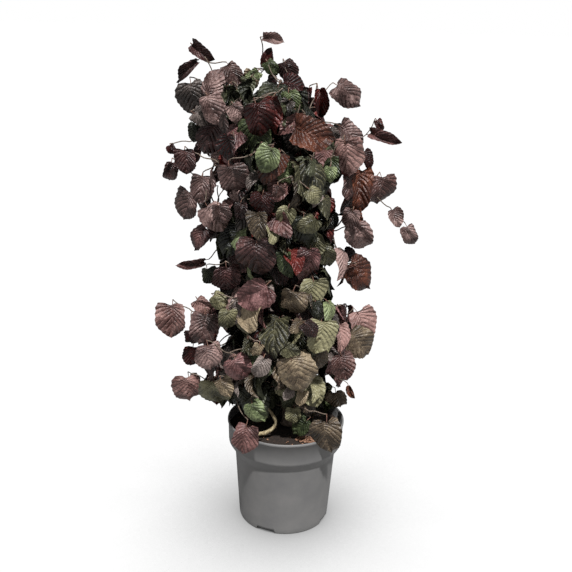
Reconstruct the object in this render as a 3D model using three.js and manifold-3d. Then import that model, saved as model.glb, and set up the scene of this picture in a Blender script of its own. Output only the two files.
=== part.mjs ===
// Potted red majestic hazel: a contorted, purple-leaved shrub in a round nursery pot.
// Millimetres, +Z up. The origin is the centre of the pot's flat underside and -Y is the front.
import * as THREE from 'three';
import { mergeVertices } from 'three/addons/utils/BufferGeometryUtils.js';
import Module from 'manifold-3d';

const wasm = await Module();
wasm.setup();

// Driving dimensions of the pot.
const potHeight = 256;
const rimRadius = 140;
const baseRadius = 109;
const shoulderSpread = 12;
const collarTaper = 3;
const lipStep = 1.8;
const potWall = 2.4;
const potFloor = 3;
const footInset = 2;
const footRise = 3;
const shoulderLow = 176;
const shoulderHigh = 202;
const lipHeight = 6;
const notchWidth = 45;
const notchHeight = 9;
const notchDepth = 9;
const firstNotch = -113;
const potSides = 30;
const soilTop = 236;
const soilClearance = 3;
const wallReach = 5;
const fit = 0.3;
const smallestEdge = 0.02;

// Driving dimensions of the wood.
const trunkRadius = 12.5;
const trunkTip = new THREE.Vector3(10, 6, 520);
const trunkTipRadius = 8;
const trunkSteps = 14;
const trunkSides = 10;
const trunkDepth = 8;
const trunkSwing = 0.8;
const trunkTurn = 60;
const footFlare = 0.75;
const flareFade = 1.6;
const leaderRadius = 6.6;
const leaderTipRadius = 3.2;
const leaderStep = 28;
const limbSides = 5;
const boughRadius = 3.6;
const boughTipRadius = 2.5;
const boughStep = 22;
const boughSwing = 0.5;
const boughClearance = 2;
const boughInward = 0.3;
const boughRise = 85;
const boughShare = 0.62;
const onwardLength = 14;
const stemRadius = 2.3;
const stemNarrowing = 0.5;
const jointNarrowing = 0.2;
const jointPath = 20;
const twigRadius = 1.7;
const twigTipRadius = 1.2;
const petioleRadius = 0.9;
const swing = 11;
const swingFade = 0.3;
const turnLength = 125;
const leastTurns = 0.6;
const kinkLength = 52;
const kinkShare = 0.09;

// Driving dimensions of the foliage.
const leafLengths = [62, 92];
const leafWidthShare = 0.88;
const leafThickness = 1.8;
const leafCurls = [0.25, 1];
const leafFolds = [0.05, 0.4];
const leafDips = [0.55, 1.45];
const leafTwist = 0.6;
const leafStray = 0.9;
const petioleShare = 0.19;
const petioleAlong = 0.75;
const petioleUp = 0.66;
const bladeMiddle = 0.43;
const leavesPerMass = 11;
const siteSpread = 1.1;
const massReach = 130;
const massRise = 105;
const markedTries = 12;
const markedStray = 2.5;
const markedShrink = 0.02;
const markedInset = 12;
const markedHeights = [300, 1070];
const tipForward = [-0.25, 0.1];
const faceAcross = [-0.3, 0.3];
const faceUp = [0.1, 0.5];
const hungShare = 0.4;
const triesPerMass = 2600;
const openHeart = 0.34;
const longestTwig = 125;
const longestShoot = 260;
const jointsTried = 3;
const pathCost = 0.25;

// Each solid is covered by beads, and the beads of two solids that stay apart never overlap.
const leafBead = 5.6;
const twigBead = 4.4;
const beadStep = 8;
const leafRings = 5;
const kinBead = 0.5;

// The leaf's outline from its base: half widths across and lengths along, as shares.
const leafOutline = [[0.42, 0.05], [0.47, 0.6], [0, 1], [-0.47, 0.6], [-0.42, 0.05]];
const leafHeart = 0.4;
const sunkShare = 0.64;

// The place that the crown's outline, gaps and marked leaves are measured from.
const eyeDistance = 1800;
const eyeHeight = 1184;

// Crown levels as seen from the front: height, reach to the left, reach to the right, half depth.
const crownLevels = [
  [238, 95, 70, 105],
  [300, 190, 120, 165],
  [360, 215, 140, 185],
  [440, 212, 180, 200],
  [520, 205, 170, 195],
  [600, 168, 140, 178],
  [700, 195, 168, 190],
  [780, 222, 172, 200],
  [860, 218, 166, 198],
  [940, 208, 152, 185],
  [1000, 215, 100, 165],
  [1040, 206, 6, 130],
  [1075, 150, -25, 75],
];

// Gaps that show the sky from the front: across, height, half width, half height.
const skyGaps = [
  [104, 800, 13, 34],
  [112, 714, 15, 22],
  [104, 620, 14, 18],
  [117, 566, 13, 16],
  [-197, 863, 17, 12],
  [-163, 798, 12, 13],
  [-155, 462, 11, 20],
  [88, 976, 16, 14],
];

// Tones of the foliage: grey-mauve on the left, rose on the right, olive at the front.
const tones = { mauve: 0x6b4a4c, rose: 0x7a4a49, olive: 0x6c6850 };

// Foliage levels: name, height, the directions of their masses, and how far out they sit.
const foliageLevels = [
  ['skirt', 335, [-142, -58, 40, 130], 0.56],
  ['low', 465, [-95, -8, 88, 178], 0.56],
  ['middle', 600, [-140, -50, 45, 132], 0.54],
  ['high', 735, [-98, -10, 85, 172], 0.56],
  ['upper', 870, [-140, -52, 42, 130], 0.56],
  ['top', 985, [-35, 175], 0.5],
];
const sideNames = {
  0: 'right', 45: 'back_right', 90: 'back', 135: 'back_left', 180: 'left',
  '-135': 'front_left', '-90': 'front', '-45': 'front_right',
};

// Leaders: name, height on the trunk, tip, and the turn that their corkscrew starts from.
const leaders = [
  ['leader_front', 292, new THREE.Vector3(-8, -58, 690), 40],
  ['leader_left', 345, new THREE.Vector3(-78, -8, 800), 200],
  ['leader_right', 398, new THREE.Vector3(66, -6, 800), 300],
  ['leader_back', 446, new THREE.Vector3(6, 70, 800), 120],
];
const topLeader = ['leader_top', new THREE.Vector3(-38, 6, 905), 260];

// The pale shoot's route and radii.
const shootRoute = [
  [-72, -62, 230], [-66, -65, 244], [-49, -68, 246], [-34, -68, 254], [-22, -68, 270],
  [-24, -70, 286], [-32, -72, 299], [-45, -72, 317],
].map((point) => new THREE.Vector3(...point));
const shootRadii = [4.4, 5, 5.2, 5.2, 4.8, 4.2, 3.4, 2.6];
const shootSides = 6;

// Leaves that stand out from the front:
// across, height, nearness to the front, length, lean of the tip, fold.
const markedLeaves = [
  [-196, 1103, 0, 58, 60, 0.9],
  [-228, 1062, 0, 66, -42, 1.15],
  [-58, 1092, 0.15, 44, 160, 0.8],
  [-30, 1062, 0.3, 56, 20, 0.2],
  [-86, 1056, 0, 52, -24, 0.3],
  [-130, 1058, 0, 54, 34, 0.5],
  [-50, 1131, 0, 46, 78, 0.9],
  [-214, 1003, 0.1, 80, 12, 0.1],
  [-172, 1034, 0.2, 62, 150, 0.3],
  [-172, 985, 0.5, 66, 30, 0.2],
  [111, 1004, 0.1, 84, 66, 0.2],
  [54, 1000, 0.2, 74, 10, 1.1],
  [-74, 964, 0.95, 74, 15, 0.05],
  [41, 941, 0.85, 84, 78, 0.5],
  [123, 942, 0.2, 62, 60, 0.3],
  [196, 934, 0, 72, 84, 1.1],
  [117, 888, 0.6, 78, 10, 0.05],
  [200, 814, 0, 76, 8, 0.25],
  [154, 818, 0.1, 94, 8, 0.9],
  [-229, 858, 0.2, 62, -10, 0.3],
  [-182, 922, 0.3, 74, -20, 0.2],
  [-224, 912, 0, 74, -40, 1.2],
  [-268, 842, 0, 58, -6, 0.9],
  [-131, 821, 0.8, 80, 12, 0.1],
  [-198, 812, 0.4, 68, -18, 0.1],
  [-238, 772, 0, 72, -24, 0.3],
  [-166, 752, 0.6, 84, 8, 0.1],
  [-204, 695, 0.1, 66, -32, 0.7],
  [232, 757, 0, 44, 30, 0.5],
  [268, 716, 0, 56, 30, 0.6],
  [152, 712, 0.2, 84, 16, 0.5],
  [158, 621, 0.1, 86, 48, 0.25],
  [-226, 638, 0, 72, -76, 1.2],
  [-143, 598, 0.5, 74, 4, 0.2],
  [-74, 652, 0.95, 94, 4, 0.05],
  [-84, 565, 0.9, 84, -50, 0.3],
  [0, 543, 0.9, 80, -6, 0.1],
  [88, 676, 0.75, 68, 6, 0.15],
  [57, 569, 0.8, 74, 4, 0.15],
  [-273, 497, 0, 84, -4, 0.4],
  [-202, 478, 0.3, 78, -10, 0.2],
  [176, 500, 0.1, 78, 30, 0.15],
  [170, 446, 0.3, 84, 50, 0.2],
  [134, 392, 0.45, 68, 20, 0.2],
  [-172, 418, 0.75, 76, 4, 0.1],
  [-107, 374, 0.9, 72, 30, 0.2],
  [-232, 316, 0, 82, 4, 0.1],
  [-168, 306, 0.5, 90, 10, 0.2],
  [21, 367, 0.95, 94, 18, 0.1],
  [123, 299, 0.1, 62, 12, 0.3],
  [-101, 191, 1, 76, -8, 0.2],
  [105, 203, 0.95, 90, 8, 0.15],
  [36, 231, 0.56, 56, -40, 0.3],
];

const UP = new THREE.Vector3(0, 0, 1);

// Seeded chance, the same on every run.
let chanceState = 30026;
function chance() {
  chanceState = (Math.imul(chanceState, 1664525) + 1013904223) >>> 0;
  return chanceState / 4294967296;
}

function between(low, high) {
  return low + (high - low) * chance();
}

function radians(degrees) {
  return degrees * Math.PI / 180;
}

function vector(x, y, z) {
  return new THREE.Vector3(x, y, z);
}

// A closed geometry as a solid that can be joined and cut.
function solidOf(geometry) {
  const bare = geometry.clone();
  bare.deleteAttribute('normal');
  bare.deleteAttribute('uv');
  const merged = mergeVertices(bare, 1e-4);
  const vertProperties = new Float32Array(merged.attributes.position.array);
  const triVerts = new Uint32Array(merged.index.array);
  return new wasm.Manifold(new wasm.Mesh({ numProp: 3, vertProperties, triVerts }));
}

function geometryOf(solid) {
  const mesh = solid.getMesh();
  const geometry = new THREE.BufferGeometry();
  geometry.setAttribute('position', new THREE.BufferAttribute(new Float32Array(mesh.vertProperties), 3));
  geometry.setIndex(new THREE.BufferAttribute(new Uint32Array(mesh.triVerts), 1));
  geometry.computeVertexNormals();
  return geometry;
}

// The largest connected body of a solid, without loose scraps.
function mainBody(solid) {
  const bodies = solid.decompose();
  bodies.sort((a, b) => b.volume() - a.volume());
  return bodies[0];
}

const hazel = new THREE.Group();

function addNode(name, geometry, color, roughness) {
  const material = new THREE.MeshStandardMaterial({ color, roughness, metalness: 0 });
  const mesh = new THREE.Mesh(geometry, material);
  mesh.name = name;
  hazel.add(mesh);
}

// A body of revolution about the Z axis from [radius, height] points.
function turned(profile) {
  const points = profile.map(([radius, height]) => new THREE.Vector2(radius, height));
  return new THREE.LatheGeometry(points, potSides).rotateX(Math.PI / 2);
}

// The pot: a thin moulded shell with a collar, a rolled lip and four drain notches at its foot.
function potGeometry() {
  const collarLow = rimRadius - collarTaper;
  const shoulderRadius = baseRadius + shoulderSpread;
  const lip = potHeight - lipHeight;
  const shell = solidOf(turned([
    [0, 0], [baseRadius - footInset, 0], [baseRadius, footRise], [shoulderRadius, shoulderLow],
    [collarLow, shoulderHigh], [rimRadius - lipStep, lip], [rimRadius, lip + 1], [rimRadius, potHeight],
    [rimRadius - lipStep - potWall, potHeight], [collarLow - potWall, shoulderHigh + 1],
    [shoulderRadius - potWall, shoulderLow + 1], [baseRadius - potWall, potFloor], [0, potFloor],
  ]));
  const cutters = [0, 90, 180, 270].map((turn) => {
    const cutter = new THREE.BoxGeometry(notchDepth * 2, notchWidth, notchHeight * 2);
    return solidOf(cutter.translate(baseRadius, 0, 0).rotateZ(radians(firstNotch + turn)));
  });
  return geometryOf(shell.subtract(wasm.Manifold.union(cutters)));
}

// The soil fills the pot to just under its rim, 0.3 mm clear of the shell.
function soilGeometry() {
  const inset = potWall + 2 * fit;
  const footHeight = notchHeight + soilClearance;
  const footShare = (footHeight - potFloor) / (shoulderLow - potFloor);
  const collarRadius = rimRadius - collarTaper - inset;
  return turned([
    [0, potFloor + fit], [baseRadius - notchDepth - soilClearance, potFloor + fit],
    [baseRadius + shoulderSpread * footShare - inset, footHeight],
    [baseRadius + shoulderSpread - inset, shoulderLow],
    [collarRadius, shoulderHigh + 2], [collarRadius, soilTop], [0, soilTop],
  ]);
}

// Two directions square to a line, for offsets to its sides.
function sidesOf(direction) {
  const helper = Math.abs(direction.z) > 0.8 ? vector(1, 0, 0) : vector(0, 0, 1);
  const first = helper.clone().cross(direction).normalize();
  const second = direction.clone().cross(first);
  return [first, second];
}

// A corkscrew route: its swing about the straight line fades at both ends.
function contortedRoute(from, to, size, startTurn, steps) {
  const line = to.clone().sub(from);
  const length = line.length();
  const [first, second] = sidesOf(line.clone().normalize());
  const turns = Math.max(leastTurns, length / turnLength);
  const route = [];
  for (let i = 0; i <= steps; i += 1) {
    const share = i / steps;
    const reach = size * Math.sqrt(Math.sin(Math.PI * share)) * (1 - swingFade * share);
    const angle = radians(startTurn) + 2 * Math.PI * turns * share;
    route.push(from.clone().addScaledVector(line, share)
      .addScaledVector(first, reach * Math.cos(angle))
      .addScaledVector(second, reach * Math.sin(angle)));
  }
  return route;
}

// A tapering limb or twig: a closed cylinder whose rings are moved onto a route.
function limbSolid(route, radii, sides) {
  const steps = route.length - 1;
  const overall = route[steps].clone().sub(route[0]).normalize();
  const [reference] = sidesOf(overall);
  const rings = route.map((point, i) => {
    const before = route[Math.max(i - 1, 0)];
    const after = route[Math.min(i + 1, steps)];
    const tangent = after.clone().sub(before).normalize();
    const side = reference.clone().addScaledVector(tangent, -reference.dot(tangent)).normalize();
    return { point, side, other: side.clone().cross(tangent), radius: radii[i] };
  });
  const geometry = new THREE.CylinderGeometry(1, 1, steps, sides, steps);
  const position = geometry.attributes.position;
  for (let i = 0; i < position.count; i += 1) {
    const ring = rings[Math.round(position.getY(i) + steps / 2)];
    const moved = ring.point.clone()
      .addScaledVector(ring.side, position.getX(i) * ring.radius)
      .addScaledVector(ring.other, position.getZ(i) * ring.radius);
    position.setXYZ(i, moved.x, moved.y, moved.z);
  }
  return solidOf(geometry);
}

function taper(start, end, steps) {
  return Array.from({ length: steps + 1 }, (_, i) => start + (end - start) * i / steps);
}

// What already stands in the crown, as groups of beads with an owner.
const placed = [];

function addBeads(owner, kind, beads, size) {
  const centre = vector(0, 0, 0);
  beads.forEach((bead) => centre.add(bead));
  centre.divideScalar(beads.length);
  const reach = Math.max(...beads.map((bead) => bead.distanceTo(centre)));
  placed.push({ owner, kind, beads, size, centre, reach });
}

// Points along a route, no more than a bead step apart.
function beadsAlong(route) {
  const beads = [route[0]];
  for (let i = 1; i < route.length; i += 1) {
    const count = Math.ceil(route[i].distanceTo(route[i - 1]) / beadStep);
    for (let j = 1; j <= count; j += 1) {
      beads.push(route[i - 1].clone().lerp(route[i], j / count));
    }
  }
  return beads;
}

// True where no bead of another owner is met; leaves of one mass may come closer together.
function isFree(owner, kind, beads, size) {
  return placed.every((other) => {
    const kin = other.owner === owner;
    if (kin && (kind !== 'leaf' || other.kind !== 'leaf')) {
      return true;
    }
    const gap = (size + other.size) * (kin ? kinBead : 1);
    const limit = other.reach + gap;
    return beads.every((bead) => bead.distanceTo(other.centre) > limit
      || other.beads.every((rest) => bead.distanceToSquared(rest) > gap * gap));
  });
}

const limbs = [];

function addLimb(name, route, radii, sides) {
  limbs.push({ name, route, radii, sides });
  for (let i = 1; i < route.length; i += 1) {
    addBeads(name, 'limb', beadsAlong([route[i - 1], route[i]]), twigBead + radii[i - 1]);
  }
}

// The trunk leans a little and flares at its foot, which is cut level with the soil.
function growTrunk() {
  const foot = vector(0, 0, soilTop - trunkDepth);
  const route = contortedRoute(foot, trunkTip, swing * trunkSwing, trunkTurn, trunkSteps);
  const radii = taper(trunkRadius, trunkTipRadius, trunkSteps)
    .map((radius, i) => radius * (1 + footFlare * Math.exp(-flareFade * i)));
  addLimb('trunk', route, radii, trunkSides);
}

function leaderRoute(from, tip, turn) {
  return contortedRoute(from, tip, swing, turn, Math.round(tip.distanceTo(from) / leaderStep));
}

function addLeader(name, route) {
  addLimb(name, route, taper(leaderRadius, leaderTipRadius, route.length - 1), limbSides);
}

// The leaders rise from the trunk, and the top one goes on from the trunk's tip.
function growLeaders() {
  const trunk = limbs[0];
  leaders.forEach(([name, height, tip, turn]) => {
    const from = trunk.route.find((point) => point.z >= height);
    addLeader(name, leaderRoute(from, tip, turn));
  });
  const [name, tip, turn] = topLeader;
  const end = trunk.route[trunk.route.length - 1];
  const onward = end.clone().sub(trunk.route[trunk.route.length - 2]).normalize();
  const from = end.clone().addScaledVector(onward, fit);
  const bend = end.clone().addScaledVector(onward, onwardLength);
  addLeader(name, [from, ...leaderRoute(bend, tip, turn)]);
}

// The crown's left and right reach and half depth at a height.
function crownAt(height) {
  const above = crownLevels.findIndex((level) => level[0] >= height);
  if (above < 1) {
    return null;
  }
  const low = crownLevels[above - 1];
  const high = crownLevels[above];
  const share = (height - low[0]) / (high[0] - low[0]);
  return low.map((value, i) => value + (high[i] - value) * share);
}

// Where a point appears from the front, on the upright plane through the trunk.
function seenFromFront(point) {
  const scale = eyeDistance / (eyeDistance + point.y);
  return { across: point.x * scale, height: eyeHeight + (point.z - eyeHeight) * scale };
}

function placeSeen(across, height, depth) {
  const scale = (eyeDistance + depth) / eyeDistance;
  return vector(across * scale, depth, eyeHeight + (height - eyeHeight) * scale);
}

// How far out a point lies in the crown: 0 on its middle line, 1 at its outline.
function crownShare(point) {
  const seen = seenFromFront(point);
  const level = crownAt(seen.height);
  if (!level) {
    return 2;
  }
  const [, left, right, depth] = level;
  const across = (seen.across - (right - left) / 2) / ((right + left) / 2);
  return Math.hypot(across, point.y / depth);
}

function inSkyGap(point) {
  const seen = seenFromFront(point);
  return skyGaps.some(([across, height, width, rise]) => (
    Math.hypot((seen.across - across) / width, (seen.height - height) / rise) < 1));
}

// True above the rim, outside the pot's wall, or between the soil and the wall.
function clearOfPot(bead, size) {
  const radius = Math.hypot(bead.x, bead.y);
  if (bead.z - size > potHeight || (radius > rimRadius + size && bead.z > size)) {
    return true;
  }
  return radius < rimRadius - wallReach - size && bead.z - size > soilTop;
}

const masses = [];

function toneOf(side, across) {
  if (side === -90 || side === -45) {
    return 'olive';
  }
  return across < 0 ? 'mauve' : 'rose';
}

// One mass of foliage for each direction of each level, at its own site in the crown.
function siteMasses() {
  foliageLevels.forEach(([level, height, directions, outward]) => directions.forEach((direction) => {
    const [, left, right, depth] = crownAt(height);
    const turn = radians(direction);
    const spread = outward * siteSpread;
    const across = (right - left) / 2 + spread * (right + left) / 2 * Math.cos(turn);
    const site = vector(across, spread * depth * Math.sin(turn), height);
    const side = Math.round(direction / 45) * 45;
    const name = `foliage_${level}_${sideNames[side]}`;
    masses.push({ name, tone: toneOf(side, across), site, leaves: [], nodes: [] });
  }));
}

// Each leader ends in the mass nearest above its tip, and every other mass has a bough of its own.
function feedMasses() {
  limbs.slice(1).forEach((leader) => {
    const tip = leader.route[leader.route.length - 1];
    const free = masses.filter((mass) => !mass.feeder && mass.site.z > tip.z);
    free.sort((a, b) => a.site.distanceTo(tip) - b.site.distanceTo(tip));
    free[0].feeder = leader;
  });
  const carriers = limbs.slice();
  masses.filter((mass) => !mass.feeder).forEach((mass) => growBough(mass, carriers));
}

// A bough leaves the nearest part of a leader or the trunk that gives it a clear way.
function growBough(mass, carriers) {
  const wished = vector(mass.site.x * boughInward, mass.site.y * boughInward, mass.site.z - boughRise);
  const starts = carriers.flatMap((carrier) => carrier.route.slice(2, -1)
    .map((point) => ({ carrier, point })));
  starts.sort((a, b) => a.point.distanceTo(wished) - b.point.distanceTo(wished));
  const name = mass.name.replace('foliage', 'bough');
  for (const { carrier, point } of starts) {
    const tip = point.clone().lerp(mass.site, boughShare);
    const steps = Math.max(3, Math.round(tip.distanceTo(point) / boughStep));
    const route = contortedRoute(point, tip, swing * boughSwing, between(0, 360), steps);
    const beads = beadsAlong(route).filter((bead) => bead.distanceTo(point) > onwardLength);
    const clearWay = placed.every((other) => other.beads.every((rest) => beads.every((bead) => (
      bead.distanceTo(rest) > other.size + (other.owner === carrier.name ? 0 : boughClearance)))));
    if (clearWay) {
      addLimb(name, route, taper(boughRadius, boughTipRadius, steps), limbSides);
      mass.feeder = limbs[limbs.length - 1];
      return;
    }
  }
  throw new Error(`no clear way for ${name}`);
}

// The stem of a mass goes on from its bough's tip, 0.3 mm clear, to the mass's site.
function growStem(mass) {
  const { route } = mass.feeder;
  const tip = route[route.length - 1];
  const onward = tip.clone().sub(route[route.length - 2]).normalize();
  const start = tip.clone().addScaledVector(onward, fit);
  const bend = tip.clone().addScaledVector(onward, onwardLength);
  const middle = bend.clone().lerp(mass.site, 0.5);
  mass.stem = [start, bend, middle, mass.site];
  mass.nodes = [bend, middle, mass.site].map((point, i) => (
    { point, radius: stemRadius - jointNarrowing * i, path: jointPath * i, bare: i > 0 }));
  addBeads(mass.name, 'twig', beadsAlong(mass.stem), twigBead);
}

// A leaf's frame: its petiole leaves the twig outward, and the blade hangs on from it.
function makeLeaf(root, along, normal, size) {
  const { length, curl, fold } = size;
  const across = along.clone().cross(normal).normalize();
  const upper = across.clone().cross(along);
  const petiole = along.clone().multiplyScalar(petioleAlong).addScaledVector(upper, petioleUp);
  const base = root.clone().addScaledVector(petiole, length * petioleShare);
  return { root, base, along, across, upper, length, curl, fold };
}

// A point of the blade from its shares across and along, drooped by the curl and raised by the fold.
function leafPoint(leaf, acrossShare, alongShare) {
  const { length, curl, fold } = leaf;
  const bend = curl * alongShare;
  const side = acrossShare * length * leafWidthShare;
  return leaf.base.clone()
    .addScaledVector(leaf.along, length / curl * Math.sin(bend))
    .addScaledVector(leaf.upper, Math.abs(side) * Math.sin(fold) - length / curl * (1 - Math.cos(bend)))
    .addScaledVector(leaf.across, side * Math.cos(fold));
}

function leafRim(leaf) {
  return [leaf.root, ...leafOutline.map(([across, along]) => leafPoint(leaf, across, along))];
}

// Beads on the rays and rings between the middle of the blade and its rim.
function leafBeads(leaf) {
  const middle = leafPoint(leaf, 0, leafHeart);
  const rim = leafRim(leaf);
  const beads = [middle];
  rim.forEach((point, i) => {
    const next = rim[(i + 1) % rim.length];
    for (let ring = 1; ring <= leafRings; ring += 1) {
      for (let step = 0; step < ring; step += 1) {
        beads.push(middle.clone()
          .addScaledVector(point.clone().sub(middle), (ring - step) / leafRings)
          .addScaledVector(next.clone().sub(middle), step / leafRings));
      }
    }
  });
  return beads;
}

// A kinked twig from a node to a leaf's root.
function twigRoute(from, to) {
  const length = from.distanceTo(to);
  const count = Math.max(1, Math.round(length / kinkLength));
  const [first, second] = sidesOf(to.clone().sub(from).normalize());
  const route = [from];
  for (let i = 1; i < count; i += 1) {
    route.push(from.clone().lerp(to, i / count)
      .addScaledVector(first, between(-kinkShare, kinkShare) * length)
      .addScaledVector(second, between(-kinkShare, kinkShare) * length));
  }
  route.push(to);
  return route;
}

// The joints of a new twig can carry further leaves and twigs.
function addNodes(mass, node, route, radii) {
  let { path } = node;
  route.slice(1).forEach((point, i) => {
    path += point.distanceTo(route[i]);
    mass.nodes.push({ point, radius: radii[i + 1], path, bare: i < route.length - 2 });
  });
}

// True where a leaf keeps clear of the sky gaps, the pot and everything placed so far.
function leafFits(mass, beads) {
  return beads.every((bead) => !inSkyGap(bead) && clearOfPot(bead, leafBead))
    && isFree(mass.name, 'leaf', beads, leafBead);
}

function addLeaf(mass, leaf, beads, route, radii) {
  mass.leaves.push({ ...leaf, route, radii });
  addBeads(mass.name, 'leaf', beads, leafBead);
}

// Adds a leaf at the end of a twig of its own, if both find a clear way within reach.
function growLeaf(mass, leaf, reach) {
  const beads = leafBeads(leaf);
  if (!leafFits(mass, beads)) {
    return false;
  }
  const cost = (node) => node.point.distanceTo(leaf.root) + pathCost * node.path;
  const near = mass.nodes.filter((node) => node.point.distanceTo(leaf.root) < reach)
    .sort((a, b) => cost(a) - cost(b));
  for (const node of near.slice(0, jointsTried)) {
    const route = twigRoute(node.point, leaf.root);
    const twigBeads = beadsAlong(route).slice(1);
    const clearWay = twigBeads.every((bead) => clearOfPot(bead, twigBead))
      && isFree(mass.name, 'twig', twigBeads, twigBead);
    if (clearWay) {
      const radii = taper(Math.min(twigRadius, node.radius), twigTipRadius, route.length - 1);
      addNodes(mass, node, route, radii);
      addBeads(mass.name, 'twig', twigBeads, twigBead);
      addLeaf(mass, leaf, beads, route, radii);
      return true;
    }
  }
  return false;
}

// Hangs a leaf on a bare joint of a twig that stands already.
function hangLeaf(mass, node, leaf) {
  const beads = leafBeads(leaf);
  if (leafFits(mass, beads)) {
    node.bare = false;
    addLeaf(mass, leaf, beads, [node.point], [Math.min(node.radius, twigTipRadius)]);
  }
}

function nearestMass(point) {
  return masses.reduce((best, mass) => (
    mass.site.distanceTo(point) < best.site.distanceTo(point) ? mass : best));
}

// The root that puts the middle of a hanging blade at a wished place.
function rootFor(middle, along, normal, length) {
  return middle.clone()
    .addScaledVector(along, -length * (bladeMiddle + petioleAlong * petioleShare))
    .addScaledVector(normal, -length * petioleUp * petioleShare);
}

// The leaves that stand out from the front, moved a little or made smaller until they fit.
function growMarkedLeaves() {
  markedLeaves.forEach(([across, height, nearness, fullLength, lean, fold]) => {
    const [lowest, highest] = markedHeights;
    const level = crownAt(Math.min(Math.max(height, lowest), highest));
    for (let attempt = 0; attempt < markedTries; attempt += 1) {
      const stray = markedStray * attempt;
      const depth = -nearness * (level[3] - markedInset) + between(-stray, stray);
      const middle = placeSeen(across + between(-stray, stray), height + between(-stray, stray), depth);
      const length = fullLength * (1 - markedShrink * attempt);
      const tip = radians(lean + between(-stray, stray));
      const along = vector(Math.sin(tip), between(...tipForward), -Math.cos(tip)).normalize();
      const facing = vector(between(...faceAcross), -1, between(...faceUp));
      const normal = facing.addScaledVector(along, -facing.dot(along)).normalize();
      const root = rootFor(middle, along, normal, length);
      const curl = between(...leafCurls);
      const leaf = makeLeaf(root, along, normal, { length, curl, fold });
      if (growLeaf(nearestMass(middle), leaf, longestShoot)) {
        return;
      }
    }
  });
}

// The way a common leaf hangs: outward from the crown's middle, drooping, a little turned.
function hangingWay(place) {
  const outward = Math.atan2(place.y, place.x) + between(-leafStray, leafStray);
  const dip = between(...leafDips);
  const level = vector(Math.cos(outward), Math.sin(outward), 0);
  const along = level.clone().multiplyScalar(Math.cos(dip)).addScaledVector(UP, -Math.sin(dip));
  const facing = level.multiplyScalar(Math.sin(dip)).addScaledVector(UP, Math.cos(dip));
  const normal = facing.applyAxisAngle(along, between(-leafTwist, leafTwist));
  const size = {
    length: between(...leafLengths), curl: between(...leafCurls), fold: between(...leafFolds),
  };
  return { along, normal, size };
}

function insideCrown(leaf) {
  return leafRim(leaf).every((point) => crownShare(point) < 1);
}

// One try to hang a leaf on a bare joint of the mass.
function tryHungLeaf(mass) {
  const bareNodes = mass.nodes.filter((node) => node.bare);
  const node = bareNodes[Math.floor(chance() * bareNodes.length)];
  if (!node) {
    return;
  }
  const { along, normal, size } = hangingWay(node.point);
  const leaf = makeLeaf(node.point, along, normal, size);
  if (insideCrown(leaf)) {
    hangLeaf(mass, node, leaf);
  }
}

// One try to grow a leaf on a new twig, with its middle anywhere in the mass's space.
function tryNewLeaf(mass) {
  const stray = vector(
    between(-massReach, massReach), between(-massReach, massReach), between(-massRise, massRise));
  const middle = mass.site.clone().add(stray);
  const { along, normal, size } = hangingWay(middle);
  const leaf = makeLeaf(rootFor(middle, along, normal, size.length), along, normal, size);
  if (nearestMass(middle) === mass && crownShare(middle) > openHeart && insideCrown(leaf)) {
    growLeaf(mass, leaf, longestTwig);
  }
}

// The rest of the leaves are scattered through the crown, mass by mass in turn.
function growScatteredLeaves() {
  for (let round = 0; round < triesPerMass; round += 1) {
    masses.filter((mass) => mass.leaves.length < leavesPerMass).forEach((mass) => {
      if (chance() < hungShare) {
        tryHungLeaf(mass);
      } else {
        tryNewLeaf(mass);
      }
    });
  }
}

// The rings of a twig, turned with the leaf at its end so that the tube doesn't twist.
function sprigRings(leaf) {
  const route = [...leaf.route, leaf.base];
  const radii = [leaf.radii[0] * sunkShare, ...leaf.radii.slice(1), petioleRadius];
  const rings = [];
  let side = leaf.upper;
  for (let i = route.length - 1; i >= 0; i -= 1) {
    const before = route[Math.max(i - 1, 0)];
    const after = route[Math.min(i + 1, route.length - 1)];
    const tangent = after.clone().sub(before).normalize();
    side = side.clone().addScaledVector(tangent, -side.dot(tangent)).normalize();
    const other = tangent.clone().cross(side);
    rings.unshift([0, 1, 2].map((corner) => {
      const turn = corner * 2 * Math.PI / 3;
      return route[i].clone()
        .addScaledVector(side, radii[i] * Math.cos(turn))
        .addScaledVector(other, radii[i] * Math.sin(turn));
    }));
  }
  return rings;
}

// A leaf with the twig that carries it: a three-sided tube that opens into a thin two-sided blade.
function sprigSolid(leaf) {
  const rings = sprigRings(leaf);
  const rim = leafOutline.map(([across, along]) => leafPoint(leaf, across, along));
  const middle = leafPoint(leaf, 0, leafHeart);
  const upper = middle.clone().addScaledVector(leaf.upper, leafThickness / 2);
  const lower = middle.clone().addScaledVector(leaf.upper, -leafThickness / 2);
  const points = [...rings.flat(), ...rim, upper, lower];
  const faces = [0, 2, 1];
  for (let i = 0; i < rings.length - 1; i += 1) {
    for (let corner = 0; corner < 3; corner += 1) {
      const a = 3 * i + corner;
      const b = 3 * i + (corner + 1) % 3;
      faces.push(a, b, a + 3, b, b + 3, a + 3);
    }
  }
  const neck = 3 * (rings.length - 1);
  const firstRim = neck + 3;
  const lastRim = firstRim + rim.length - 1;
  const top = lastRim + 1;
  const bottom = lastRim + 2;
  for (let i = firstRim; i < lastRim; i += 1) {
    faces.push(i, i + 1, top, i + 1, i, bottom);
  }
  faces.push(neck, firstRim, top, neck, neck + 1, firstRim, neck + 1, bottom, firstRim);
  faces.push(neck + 1, neck + 2, bottom, neck + 2, lastRim, bottom);
  faces.push(neck + 2, neck, lastRim, neck, top, lastRim);
  const geometry = new THREE.BufferGeometry();
  const values = points.flatMap((point) => point.toArray());
  geometry.setAttribute('position', new THREE.Float32BufferAttribute(values, 3));
  geometry.setIndex(faces);
  return solidOf(geometry);
}

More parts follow.
